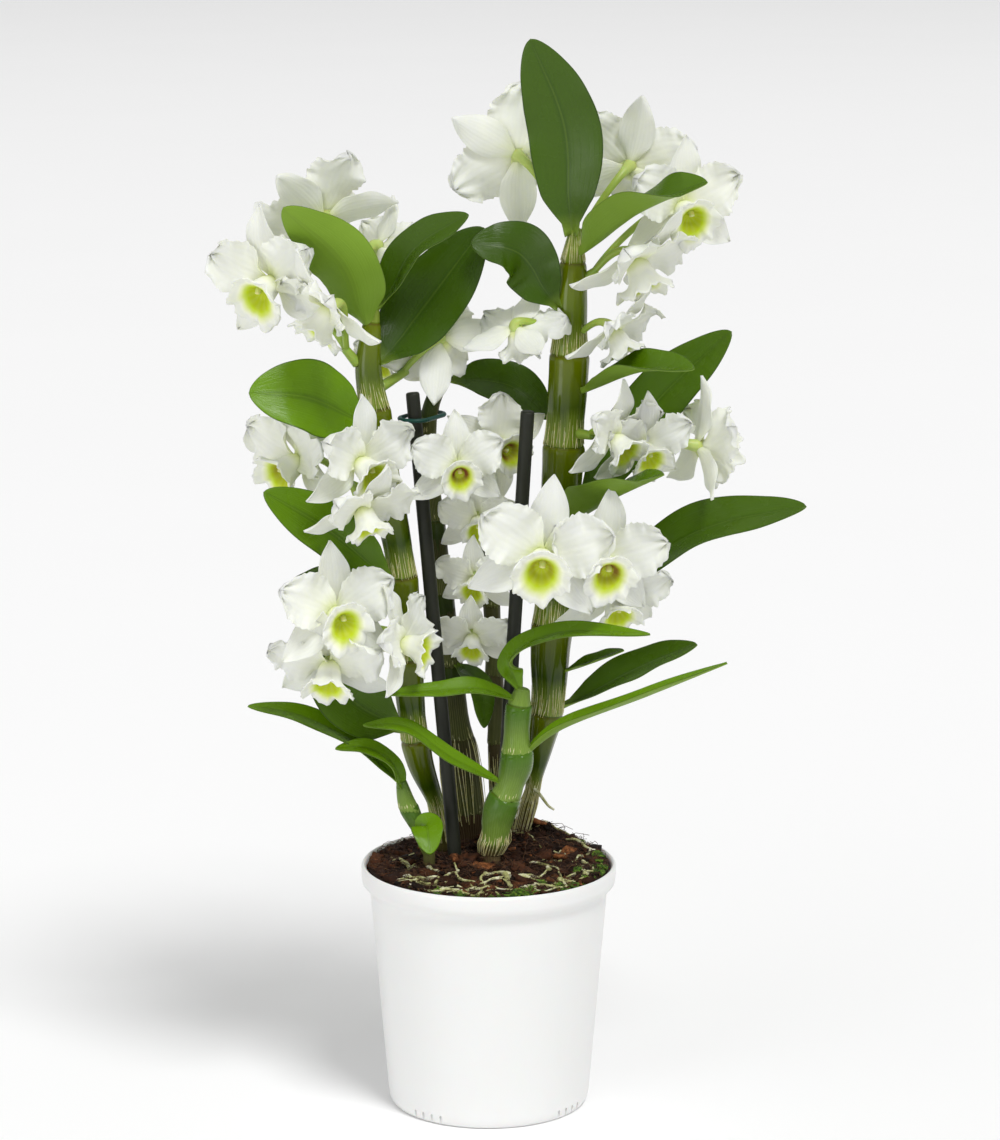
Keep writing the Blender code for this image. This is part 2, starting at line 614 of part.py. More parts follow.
def make_soil(stems, collection):
    inner = [POT_FOOT_RADIUS - POT_WALL - GAP, POT_FLOOR + GAP]
    neck = [POT_NECK_RADIUS - POT_WALL - GAP, POT_HEIGHT - RIM_BAND]
    edge = POT_RIM_RADIUS - RIM_WALL - 2 * GAP
    profile = [(0, SOIL_EDGE_HEIGHT)]
    profile += [(edge * ring / SOIL_RINGS, SOIL_EDGE_HEIGHT) for ring in range(1, SOIL_RINGS + 1)]
    profile += [tuple(neck), tuple(inner), (0, inner[1])]
    soil = turned("bark_mix", profile, SOIL_SIDES, collection)
    for vertex in soil.data.vertices:
        if vertex.co.z > (SOIL_EDGE_HEIGHT - 0.5) * MM:
            vertex.co.z = soil_height(vertex.co.x / MM, vertex.co.y / MM) * MM
    bodies = [soil]
    for i, route in enumerate(SURFACE_ROOTS):
        points = [(Vector((x, y, soil_height(x, y) + 0.5)), ROOT_RADIUS) for x, y in route]
        bodies.append(tube(f"root_{i}", points, collection, resolution=0))
    for i, (x, y, length, turn, tilt) in enumerate(BARK_FLAKES):
        bm = bmesh.new()
        bmesh.ops.create_cube(bm, size=1.0)
        bmesh.ops.scale(bm, vec=(length, 0.55 * length, 3.0), verts=bm.verts)
        lean = Matrix.Rotation(radians(turn), 3, "Z") @ Matrix.Rotation(radians(tilt), 3, "Y")
        bmesh.ops.rotate(bm, verts=bm.verts, matrix=lean)
        bmesh.ops.translate(bm, verts=bm.verts, vec=(x, y, soil_height(x, y) + 0.2))
        bodies.append(mesh_object(f"flake_{i}", bm, collection))
    soil = fused("bark_mix", bodies, collection)
    holes = new_collection("hole_cutters")
    for name, stem in stems.items():
        foot = Vector((*stem.knots[0][:2], STEM_FOOT_HEIGHT - GAP))
        top = foot + Vector((0, 0, HOLE_LENGTH))
        cylinder(name + "_hole", holes, foot, top, stem.knots[0][3] + 4 * GAP)
    for name, (foot, top) in STAKES.items():
        foot, top = Vector(foot), Vector(top)
        down = (foot - top).normalized()
        low, high = foot + down * GAP, foot - down * STAKE_HOLE_LENGTH
        cylinder(name + "_hole", holes, low, high, STAKE_RADIUS + 2 * GAP)
    soil = cut(soil, holes)
    remove_collection(holes)
    return soil


def make_clip(stems, collection):
    """The ring that ties the rear cane to the left stake: an oval of wire round both."""
    foot, top = map(Vector, STAKES["stake_left"])
    stake = foot.lerp(top, (CLIP_HEIGHT - foot.z) / (top.z - foot.z))
    cane, radius = stems["cane_rear"].at(CLIP_HEIGHT)
    along = (cane - stake).to_2d()
    out = max(radius * 1.1, STAKE_RADIUS) + CLIP_WIRE + 5 * GAP
    heading = atan2(along.y, along.x)
    curve = bpy.data.curves.new("clip", "CURVE")
    curve.dimensions = "3D"
    curve.bevel_depth = CLIP_WIRE * MM
    curve.bevel_resolution = 1
    spline = curve.splines.new("POLY")
    places = []
    for centre, start in ((cane, -90), (stake, 90)):
        for i in range(CLIP_STEPS + 1):
            angle = heading + radians(start + 180 * i / CLIP_STEPS)
            places.append((centre.x + out * cos(angle), centre.y + out * sin(angle), CLIP_HEIGHT))
    spline.points.add(len(places) - 1)
    for knot, place in zip(spline.points, places):
        knot.co = (*(Vector(place) * MM), 1.0)
    spline.use_cyclic_u = True
    made = bpy.data.objects.new("stake_clip", curve)
    collection.objects.link(made)
    return fixed_mesh(made)


def main():
    clear_scene()
    materials = make_materials()
    plant = new_collection("dendrobium_orchid")
    stems = {name: Stem(route, pitch) for name, (_, pitch, route) in {**CANES, **SHOOTS}.items()}
    finish(make_pot(plant), materials, "pot_plastic")
    finish(make_soil(stems, plant), materials, "bark_mix")
    for name, (slot, _, _) in CANES.items():
        finish(tube(name, stems[name].rings(), plant), materials, slot)
    for name, (slot, _, _) in SHOOTS.items():
        finish(make_shoot(name, stems[name], plant), materials, slot)
    for name, row in LEAVES.items():
        finish(make_leaf(name, stems, row, plant), materials, "leaf")
    for name, row in SPRAYS.items():
        finish(make_spray(name, stems, row, plant), materials, "petal")
    for name, (foot, top) in STAKES.items():
        finish(cylinder(name, plant, Vector(foot), Vector(top), STAKE_RADIUS), materials, "stake_plastic")
    finish(make_clip(stems, plant), materials, "clip_plastic")


main()
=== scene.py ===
"""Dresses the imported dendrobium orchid: its blooms, leaves, canes, bark, pot, stage and camera.

Each piece is drawn in millimetres from the same routes as the solids and made in metres.
"""
import json
from math import atan2, cos, exp, hypot, pi, radians, sin

import bpy
import numpy as np
from mathutils import Matrix, Vector, noise

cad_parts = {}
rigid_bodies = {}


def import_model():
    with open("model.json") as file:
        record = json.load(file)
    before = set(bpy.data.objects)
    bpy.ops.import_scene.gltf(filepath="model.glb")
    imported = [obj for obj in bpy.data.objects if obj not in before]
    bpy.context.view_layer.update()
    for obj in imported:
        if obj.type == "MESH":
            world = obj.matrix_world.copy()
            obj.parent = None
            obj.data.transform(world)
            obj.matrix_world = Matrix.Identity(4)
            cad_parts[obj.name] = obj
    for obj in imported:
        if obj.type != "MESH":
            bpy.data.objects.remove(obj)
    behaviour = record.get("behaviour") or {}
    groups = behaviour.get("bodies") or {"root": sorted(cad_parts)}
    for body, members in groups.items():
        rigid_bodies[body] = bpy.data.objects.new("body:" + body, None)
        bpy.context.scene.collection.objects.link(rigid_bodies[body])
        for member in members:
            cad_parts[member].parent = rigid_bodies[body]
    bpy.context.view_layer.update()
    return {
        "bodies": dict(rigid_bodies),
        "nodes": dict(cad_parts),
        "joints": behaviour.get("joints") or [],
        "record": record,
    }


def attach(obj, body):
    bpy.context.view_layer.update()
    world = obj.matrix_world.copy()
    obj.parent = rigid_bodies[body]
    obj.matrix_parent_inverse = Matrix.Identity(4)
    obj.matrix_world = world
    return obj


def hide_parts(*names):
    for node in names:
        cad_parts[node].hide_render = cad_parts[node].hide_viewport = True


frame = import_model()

bl_info = {
    "name": "Dendrobium orchid",
    "version": (1, 0, 0),
    "blender": (4, 5, 0),
    "location": "3D View > Sidebar > Orchid",
    "description": "Builds the fine pieces of a potted dendrobium orchid round its plain solids",
    "category": "Object",
}

MM = 0.001

# The photographed view, with the picture's height across the sensor
CAMERA_PLACE = (0.00533, -1.8, 0.6342)
CAMERA_PITCH_DEG = 78.15
CAMERA_LENS = 125.18
SENSOR = 36.0
# Each light: name, kind, place in metres, the height it looks at, strength, and how soft it is
LIGHTS = [
    ("key", "SUN", (0.50, -0.85, 1.45), 0.0, 1.75, ("angle", radians(20))),
    ("fill", "SUN", (-1.2, -1.0, 1.1), 0.0, 0.30, ("angle", radians(60))),
    ("sheen", "AREA", (-1.0, -1.15, 0.25), 0.28, 3.0, ("size", 0.6)),
]
# The floor's edge from its underside to its top: radius and height in millimetres
FLOOR_EDGE = [(14500.0, -20.0), (15000.0, -10.0), (15000.0, -0.02), (200.0, -0.02)]

# The pot, in millimetres
POT_HEIGHT = 116.0
POT_RIM_RADIUS = 60.0
POT_NECK_RADIUS = 55.8
POT_FOOT_RADIUS = 47.3
POT_WALL = 1.5
RIM_WALL = 2.4
RIM_BAND = 11.0
SLOT_GROUPS = 4
SLOTS_IN_GROUP = 4
SLOT_PITCH_DEG = 6.0
FIRST_SLOT_DEG = -136.0
SLOT_WIDTH = 1.7
SLOT_TOP = 5.0

# The bark mix
SOIL_FOOT_HEIGHT = 2.85
SOIL_EDGE_HEIGHT = 113.0
SOIL_RIM_RISE = 1.9
SOIL_MOUND = 5.0
SOIL_HEAP = 9.0
HEAP_PLACE = (24.0, 34.0)
HEAP_REACH = (26.0, 20.0)
SOIL_LUMP = 1.7
SOIL_LUMP_SIZE = 11.0
SOIL_GRIT_SIZE = 5.0
STEM_FOOT_HEIGHT = 96.0
# Share of the loose pieces and their length, then for fibres their thickness
CHIP_SIZES = [(0.74, 2.0), (0.23, 4.0), (0.03, 8.0)]
FIBRE_SIZES = [(0.8, 6.0, 0.11), (0.2, 13.0, 0.14)]
FIBRE_SIDES = 3
# Leaves of moss for each square metre, their size in millimetres, then each patch of it: the way
# from the middle in degrees, how far out, and its size
MOSS_DENSITY = 4.0e6
MOSS_LENGTH = 1.9
MOSS_THICKNESS = 0.15
MOSS = [(-50, 53, 3.6), (-44, 54, 3.0), (-36, 52, 4.0), (-28, 53, 3.2), (-18, 54, 3.0), (-8, 53, 3.6),
        (-78, 54, 3.0), (-86, 54, 2.6), (-68, 52, 3.2), (-104, 54, 2.6), (-116, 53, 3.0), (12, 53, 2.8),
        (2, 52, 2.2), (-62, 54, 2.0), (-72, 53, 2.8), (-95, 54, 2.0), (-130, 53, 2.4), (172, 52, 2.6),
        (-57, 46, 1.8), (-22, 44, 2.2), (30, 50, 2.0)]

# The stakes: buried foot and top
STAKES = {
    "stake_left": ((-9, -2, 40), (-35, 5, 339)),
    "stake_right": ((1, 16, 40), (18, -5, 332)),
}
STAKE_RADIUS = 3.2
CLIP_WIRE = 1.0
CLIP_HEIGHT = 327.0

# Roots on the bark from their foot outwards
SURFACE_ROOTS = [
    [(-44, -20), (-34, -30), (-24, -33), (-14, -40), (-4, -47)],
    [(-2, -24), (6, -30), (10, -38), (20, -44), (24, -47)],
    [(8, -30), (16, -33), (26, -34), (30, -40)],
    [(46, -18), (40, -28), (32, -36), (26, -42)],
    [(-42, -2), (-36, -8), (-28, -12), (-24, -20)],
]
# Thinner roots that wander over the mix: how many lie all over it and how many more lie at the
# front, their steps in millimetres and how far from the middle they go
EVEN_ROOTS = 40
FRONT_ROOTS = 24
ROOT_STEP = 1.4
ROOT_REACH = 54.5
# The root that hangs free at the right cane's foot
AERIAL_ROOT = [(20, 23, 147), (24, 19, 144), (28, 17, 139), (31, 16, 137)]
# Flakes of bark: x, y, length, turn, tilt
BARK_FLAKES = [(-4, -12, 15, 20, 14), (24, 34, 13, 60, 22), (-26, -26, 12, -35, 16),
               (34, 4, 12, 80, 20), (16, -18, 11, -15, 24), (-40, 16, 13, 40, 18)]

# Each cane: its first joint's height, the pitch of its joints and its route (x, y, z, radius)
CANES = {
    "cane_right": (140.0, 43.0, [
        (15, 30, 121, 3.2), (18, 27, 134, 3.4), (21, 24, 147, 3.6), (24, 23, 166, 6.4),
        (28, 22, 189, 8.4), (29, 22, 215, 9.4), (32, 22, 252, 9.6), (34, 22, 294, 9.6),
        (37, 21, 344, 9.2), (38, 20, 372, 8.0), (39, 19, 398, 5.8), (40, 18, 414, 2.8)]),
    "cane_left": (133.0, 40.0, [
        (-22, 18, 121, 3.4), (-25, 16, 140, 4.2), (-33, 12, 164, 6.4), (-37, 8, 195, 7.0),
        (-40, 4, 250, 7.1), (-46, 0, 290, 7.1), (-52, -2, 330, 7.2), (-55, -3, 350, 6.4),
        (-54, -4, 366, 4.8), (-52, -4, 382, 2.4)]),
    "cane_rear": (132.0, 36.0, [
        (-10, 34, 121, 7.0), (-12, 35, 138, 10.0), (-14, 36, 158, 9.0), (-16, 36, 178, 6.6),
        (-20, 34, 220, 5.4), (-25, 28, 270, 4.8), (-28, 20, 304, 4.2), (-28, 16, 324, 4.0),
        (-25, 20, 335, 3.6), (-20, 28, 343, 3.0), (-16, 36, 348, 2.2)]),
    "cane_rear_short": (131.0, 34.0, [
        (5, 42, 121, 3.6), (4, 39, 150, 3.9), (3, 36, 190, 4.1), (1, 34, 240, 3.8),
        (-1, 33, 276, 3.2), (-1, 33, 297, 2.2)]),
}
OLD_CANES = ("cane_rear", "cane_rear_short")
# How papery a stem is at its foot, the height over which that fades, and how papery it stays
DRYNESS = {"cane_rear": (1.25, 55.0, 0.0), "cane_rear_short": (0.9, 220.0, 0.25),
           "cane_right": (1.2, 26.0, 0.0), "shoot_front": (1.1, 9.0, 0.0)}
# Pale fibres at a stem's foot: from and to which height, how many, and how far they stand off
FOOT_FIBRES = {"cane_right": (118.0, 150.0, 30, 1.4), "cane_rear": (126.0, 172.0, 30, 1.0),
               "cane_rear_short": (122.0, 160.0, 30, 0.8), "cane_left": (119.0, 140.0, 30, 0.8),
               "shoot_front": (117.0, 132.0, 46, 2.2)}
SHOOTS = {
    "shoot_front": (128.0, 22.0, [
        (1, -2, 121, 4.6), (3, -4, 129, 6.2), (5, -5, 142, 8.0), (10, -6, 155, 6.8),
        (13, -6, 166, 7.8), (13, -6, 178, 6.2), (14, -6, 192, 6.0), (16, -6, 202, 3.6)]),
    "shoot_left": (126.0, 18.0, [
        (-28, -4, 121, 2.8), (-32, -4, 132, 3.6), (-38, -4, 145, 4.4), (-41, -5, 157, 2.4)]),
}

# Each leaf: stem and height, middle, tip, the way its upper face looks, width, fold of its two
# halves, and how light its green is from 0 to 1
LEAVES = {
    "leaf_right_crown": ("cane_right", 412, (35, 12, 460), (19, 4, 501), (-0.2, -1, 0.1), 35, 12, 0.17),
    "leaf_right_crown_side": (
        "cane_right", 402, (67, -14, 424), (98, -29, 440), (-0.2, 0.4, 0.9), 33, 40, 0.45),
    "leaf_right_crown_left": (
        "cane_right", 378, (15, 10, 402), (-8, 4, 408), (-0.4, -0.9, 0.6), 30, 22, 0.07),
    "leaf_right_upper": ("cane_right", 338, (69, -8, 351), (93, -26, 355), (0, -0.3, 0.95), 24, 40, 0.45),
    "leaf_right_rear": ("cane_right", 280, (77, 36, 327), (113, 29, 364), (-0.4, -0.9, 0.4), 31, 14, 0.32),
    "leaf_right_middle": (
        "cane_right", 277, (54, -11, 291), (80, -23, 306), (-0.2, 0.6, 0.75), 34, 34, 0.5),
    "leaf_right_long": (
        "cane_right", 228, (94, 4, 272), (146, -12, 289), (-0.4, -0.6, 0.75), 29, 24, 0.2),
    "leaf_right_low": ("cane_right", 186, (70, 26, 203), (98, 18, 217), (-0.3, -0.5, 0.8), 21, 26, 0.25),
    "leaf_right_low_small": (
        "cane_right", 205, (50, 10, 211), (63, 2, 218), (-0.3, -0.3, 0.9), 10, 30, 0.25),
    "leaf_left_crown": ("cane_left", 372, (-66, -19, 402), (-92, -26, 428), (0.3, 0.9, 0.2), 33, 10, 1.0),
    "leaf_left_crown_dark": (
        "cane_left", 379, (-34, -6, 406), (-9, -8, 423), (-0.3, -0.6, 0.7), 22, 30, 0.16),
    "leaf_left_crown_right": (
        "cane_left", 354, (-27, 13, 381), (-2, 16, 414), (-0.3, -1, 0.2), 36, 12, 0.05),
    "leaf_left_upper": (
        "cane_left", 327, (-81, -24, 341), (-108, -32, 345), (0.1, -0.9, 0.5), 36, 12, 0.92),
    "leaf_left_middle": (
        "cane_left", 252, (-73, -20, 279), (-102, -30, 299), (0.3, -0.9, 0.4), 28, 14, 0.62),
    "leaf_left_middle_rear": (
        "cane_left", 236, (-69, 14, 246), (-93, 10, 248), (0.1, -0.4, 0.9), 22, 24, 0.08),
    "leaf_left_low": ("cane_left", 180, (-67, -6, 199), (-88, -8, 235), (0.5, -0.9, 0.3), 33, 14, 0.34),
    "leaf_rear_top": ("cane_rear", 342, (10, 42, 336), (29, 34, 322), (0.2, -0.8, 0.5), 24, 14, 0.18),
    "leaf_rear_low": ("cane_rear", 205, (-4, 14, 197), (-2, 4, 180), (0.3, -0.8, 0.5), 13, 14, 0.2),
}
# The young shoots' own leaves: height, then route points, face, width and fold
SHOOT_LEAVES = {
    "shoot_front": [
        (198, (11, -9, 217), (33, -16, 230), (74, -31, 233), (-0.2, -0.4, 0.9), 15, 24),
        (195, (-4, -15, 203), (-22, -22, 204), (-47, -32, 205), (0, -0.5, 0.9), 13, 24),
        (166, (34, -9, 183), (73, -14, 200), (110, -20, 217), (-0.2, -0.1, 0.97), 12, 36),
        (154, (-17, -15, 170), (-38, -20, 186), (-58, -22, 188), (0.3, -0.5, 0.8), 11, 20)],
    "shoot_left": [
        (154, (-60, -8, 174), (-87, -15, 190), (-111, -22, 197), (0.3, -0.5, 0.9), 15, 22),
        (150, (-45, -10, 166), (-57, -15, 175), (-71, -19, 176), (0.1, -0.5, 0.9), 12, 20),
        (130, (-29, -14, 137), (-28, -20, 134), (-27, -26, 127), (0, -0.8, 0.5), 16, 20)],
}
# How far a leaf's tip turns its upper side to the front, in degrees
TIP_TURN_DEG = {"leaf_right_crown_side": 52.0, "leaf_right_middle": 40.0, "leaf_right_upper": 16.0,
                "leaf_left_crown_dark": 14.0}
LEAF_THICKNESS = 1.3
YOUNG_TONE = 0.82
# Canes turn this much greener from one height down to the other
DEEP_GREEN = (0.22, 0.30, 1.0, 1.0)
DEEP_GREEN_FROM = 400.0
DEEP_GREEN_AT = 310.0

# Each spray: cane, height and fork, then its blooms. Each bloom: the place where its tepals
# meet, the way it faces, its roll, its span and how dark the mark in its throat is.
SPRAYS = {
    "spray_left_top": ("cane_left", 354, (-66, -7, 362), [
        ((-97, -6, 393), (-36, -5), -8, 70, 0.0),
        ((-75, 16, 418), (-160, 35), 50, 70, 0.0),
        ((-69, -32, 385), (-65, -32), 0, 64, 0.0)]),
    "bloom_left_top_inner": ("cane_left", 376, None, [((-52, 21, 405), (130, -20), 0, 50, 0.0)]),
    "spray_mid_top": ("cane_left", 342, (-38, 12, 348), [
        ((-22, 15, 363), (-160, -20), 40, 64, 0.0),
        ((-46, 32, 352), (-30, -15), 0, 38, 0.0)]),
    "bloom_mid_top_right": ("cane_right", 366, None, [((12, 8, 370), (150, -45), 0, 52, 0.0)]),
    "bloom_right_top_left": ("cane_right", 411, None, [((14, 32, 445), (-165, 5), 58, 72, 0.0)]),
    "bloom_right_top_rear": ("cane_right", 408, None, [((65, 34, 440), (170, 10), -14, 68, 0.0)]),
    "spray_right_top": ("cane_right", 390, (50, 18, 394), [
        ((88, 27, 423), (25, 0), 0, 66, 0.1),
        ((66, 8, 403), (56, -42), 0, 70, 0.3)]),
    "bloom_right_top_low": ("cane_right", 366, None, [((56, 5, 370), (62, -38), 0, 55, 0.1)]),
    "spray_right_mid": ("cane_right", 318, (48, 10, 318), [
        ((56, -3, 321), (48, -15), 0, 56, 0.3),
        ((70, 8, 315), (30, -12), 0, 54, 0.0),
        ((96, 16, 312), (110, 0), 0, 66, 0.0)]),
    "spray_centre": ("cane_rear_short", 288, (-4, 20, 298), [
        ((-15, -6, 307), (12, 5), 0, 52, 1.0),
        ((3, 21, 312), (18, 0), -60, 56, 0.9)]),
    "bloom_centre_middle": ("cane_rear_short", 262, None, [((-5, 20, 278), (0, -12), 0, 44, 0.1)]),
    "bloom_centre_low": ("cane_rear_short", 246, None, [((-5, 17, 250), (-20, -15), 0, 44, 0.1)]),
    "bloom_centre_foot": ("cane_rear_short", 222, None, [((-7, 17, 223), (-10, -25), 0, 46, 0.1)]),
    "spray_front": ("cane_right", 252, (34, 2, 256), [
        ((24, -30, 271), (5, 0), 12, 74, 0.45),
        ((51, -18, 266), (20, 0), 10, 68, 0.8),
        ((57, -3, 247), (20, -25), 0, 60, 0.0)]),
    "spray_left_mid": ("cane_left", 292, (-66, -14, 301), [
        ((-86, 8, 308), (-50, -5), 0, 70, 0.5),
        ((-60, -30, 314), (42, -5), 0, 62, 0.0),
        ((-58, -34, 295), (40, -40), 0, 58, 0.0)]),
    "spray_left_low": ("cane_left", 226, (-54, -14, 232), [
        ((-71, -34, 244), (25, 10), 0, 66, 0.05),
        ((-72, -28, 221), (-10, -30), 0, 64, 0.0),
        ((-42, -27, 228), (65, 12), -15, 58, 0.0)]),
}
NOMINAL_SPAN = 76.0
SEPAL = (38.0, 19.0, 0.0)
PETAL = (35.0, 30.5, 2.4)
SEPALS = [(0, 22, -14), (126, 10, -16), (-126, 10, -16)]
PETALS = [(64, 24, -6), (-64, 24, -6)]
PETAL_WAVE = 1.8
LIP_RADIUS = 13.5
LIP_REACH = 20.0
LIP_DROOP_DEG = 20.0
# Share of the lip's radius and of its reach, from its outer foot over the rim to its throat
LIP_OUTER = [(0.02, 0.0), (0.30, 0.08), (0.44, 0.26), (0.50, 0.46), (0.58, 0.66), (0.76, 0.84),
             (1.0, 0.985)]
LIP_INNER = [(0.985, 1.03), (0.84, 0.96), (0.66, 0.88), (0.50, 0.80), (0.38, 0.71), (0.26, 0.62),
             (0.02, 0.58)]
# The column over the throat, from its foot to its cap
COLUMN_ROUTE = [(0, -9.0, 2.6), (0, -11.5, 2.9), (0, -13.6, 2.5), (0, -14.9, 1.6), (0, -15.5, 0.8)]
COLUMN_SHARES = (0.0, 0.5, 0.78, 0.82, 0.95, 1.0)
COLUMN_RADII = (1.9, 1.6, 1.4, 1.6, 1.3, 0.5)
STALK_RADIUS = 1.7
FORK_RADIUS = 2.2


class OrchidBloomSettings(bpy.types.PropertyGroup):
    """What shapes and colours the blooms."""

    white: bpy.props.FloatVectorProperty(
        name="White", description="Colour of the tepals", subtype="COLOR", size=3,
        default=(0.81, 0.825, 0.755))
    lime: bpy.props.FloatVectorProperty(
        name="Lime", description="Colour deep in the throat", subtype="COLOR", size=3,
        default=(0.50, 0.58, 0.018))
    thickness: bpy.props.FloatProperty(
        name="Tepal thickness", description="Thickness of sepals and petals at their middle",
        default=0.7 * MM, min=0.3 * MM, unit="LENGTH")
    ruffle: bpy.props.FloatProperty(
        name="Ruffle", description="Height of the waves along petal and lip edges",
        default=1.9 * MM, min=0.0, unit="LENGTH")


class OrchidLeafSettings(bpy.types.PropertyGroup):
    """What colours the leaves."""

    dark: bpy.props.FloatVectorProperty(
        name="Dark green", description="Colour of the darkest leaves", subtype="COLOR", size=3,
        default=(0.028, 0.052, 0.002))
    light: bpy.props.FloatVectorProperty(
        name="Light green", description="Colour of the lightest leaves", subtype="COLOR", size=3,
        default=(0.165, 0.320, 0.002))


class OrchidCaneSettings(bpy.types.PropertyGroup):
    """What colours the canes and how their sheaths fray."""

    green: bpy.props.FloatVectorProperty(
        name="Cane green", description="Colour of the bare cane", subtype="COLOR", size=3,
        default=(0.135, 0.195, 0.0005))
    straw: bpy.props.FloatVectorProperty(
        name="Straw", description="Colour of the dry veins", subtype="COLOR", size=3,
        default=(0.62, 0.62, 0.26))
    veins: bpy.props.IntProperty(
        name="Veins", description="Dry veins round each joint", default=38, min=3, max=80)


class OrchidBarkSettings(bpy.types.PropertyGroup):
    """How much loose bark and coir lies on the mix."""

    chips: bpy.props.FloatProperty(
        name="Chips", description="Chips of bark for each square centimetre",
        default=18.0, min=0.0)
    fibres: bpy.props.FloatProperty(
        name="Fibres", description="Coir fibres for each square centimetre",
        default=24.0, min=0.0)
    seed: bpy.props.IntProperty(name="Seed", description="Seed of the scatter", default=4, min=0)


class OrchidStageSettings(bpy.types.PropertyGroup):
    """The floor and the light."""

    floor: bpy.props.FloatVectorProperty(
        name="Floor", description="Colour of the floor", subtype="COLOR", size=3,
        default=(0.96, 0.96, 0.96))
    sky: bpy.props.FloatProperty(
        name="Sky", description="Strength of the even light", default=0.50, min=0.0)


SETTINGS = {
    "orchid_bloom": OrchidBloomSettings,
    "orchid_leaf": OrchidLeafSettings,
    "orchid_cane": OrchidCaneSettings,
    "orchid_bark": OrchidBarkSettings,
    "orchid_stage": OrchidStageSettings,
}


def srgb(code):
    """A colour such as #80a040 as linear red, green, blue and full alpha."""
    parts = [int(code[i:i + 2], 16) / 255 for i in (1, 3, 5)]
    return (*[c / 12.92 if c <= 0.04045 else ((c + 0.055) / 1.055) ** 2.4 for c in parts], 1.0)


def rgba(colour):
    return (*colour, 1.0)


def add_node(tree, kind, values=(), **settings):
    """A node of that kind, its settings set and its inputs given a value or a link."""
    made = tree.nodes.new(kind)
    for name, value in settings.items():
        setattr(made, name, value)
    for key, value in dict(values).items():
        if isinstance(value, bpy.types.NodeSocket):
            tree.links.new(value, made.inputs[key])
        else:
            made.inputs[key].default_value = value
    return made


def new_material(name, **fixed):
    """A material with one Principled shader, its fixed inputs set by name."""
    made = bpy.data.materials.new(name)
    made.use_nodes = True
    tree = made.node_tree
    shader = tree.nodes["Principled BSDF"]
    for key, value in fixed.items():
        shader.inputs[key.replace("_", " ")].default_value = value
    return made, tree, shader


def painted(tree, name):
    """The value painted on a mesh under that name."""
    return add_node(tree, "ShaderNodeAttribute", attribute_name=name).outputs["Fac"]


def math(tree, operation, a, b=0.0, c=0.0):
    """The result of one sum on values or links."""
    made = add_node(tree, "ShaderNodeMath", {0: a, 1: b, 2: c}, operation=operation)
    return made.outputs[0]


def scaled(tree, value, factor, plus=0.0):
    """The value times the factor, plus a number."""
    return math(tree, "MULTIPLY_ADD", value, factor, plus)


def ramp(tree, factor, stops):
    """A colour ramp from stops, each a position and a colour code, colour or grey."""
    made = add_node(tree, "ShaderNodeValToRGB", {"Fac": factor})
    elements = made.color_ramp.elements
    while len(elements) < len(stops):
        elements.new(0.5)
    for element, (position, tone) in zip(elements, stops):
        element.position = position
        if isinstance(tone, str):
            tone = srgb(tone)
        element.color = tone if isinstance(tone, tuple) else (tone, tone, tone, 1.0)
    return made.outputs["Color"]


def mix(tree, factor, a, b):
    """Colour a turned towards colour b by the factor."""
    made = add_node(tree, "ShaderNodeMix", {0: factor, 6: a, 7: b}, data_type="RGBA")
    return made.outputs[2]


def tinted(tree, colour, factor, share, code):
    """The colour, turned towards the code's by a share of the factor."""
    return mix(tree, scaled(tree, factor, share), colour, srgb(code))


def noise_at(tree, place, scale, detail=3.0, roughness=0.5, stretch=(1, 1, 1)):
    """Noise at a place, in lumps of about 1/scale, stretched along the three axes."""
    mapped = add_node(tree, "ShaderNodeMapping", {"Vector": place, "Scale": stretch})
    made = add_node(tree, "ShaderNodeTexNoise", {
        "Vector": mapped.outputs[0], "Scale": scale, "Detail": detail, "Roughness": roughness})
    return made.outputs["Fac"]


def bands_at(tree, uv, scale, distortion, **fixed):
    """Soft bands across a UV map."""
    values = {"Vector": uv, "Scale": scale, "Distortion": distortion, **fixed}
    made = add_node(tree, "ShaderNodeTexWave", values, wave_type="BANDS", bands_direction="X",
                    wave_profile="SIN")
    return made.outputs["Fac"]


def dress(tree, shader, colour, relief, strength, depth, rough=None):
    """Links a shader's colour, its relief of that depth in millimetres and its roughness."""
    tree.links.new(colour, shader.inputs["Base Color"])
    if rough is not None:
        tree.links.new(rough, shader.inputs["Roughness"])
    made = add_node(tree, "ShaderNodeBump", {
        "Height": relief, "Strength": strength, "Distance": depth * MM})
    tree.links.new(made.outputs[0], shader.inputs["Normal"])


def object_place(tree):
    return add_node(tree, "ShaderNodeTexCoord").outputs["Object"]


def uv_place(tree):
    return add_node(tree, "ShaderNodeUVMap", uv_map="UVMap").outputs[0]


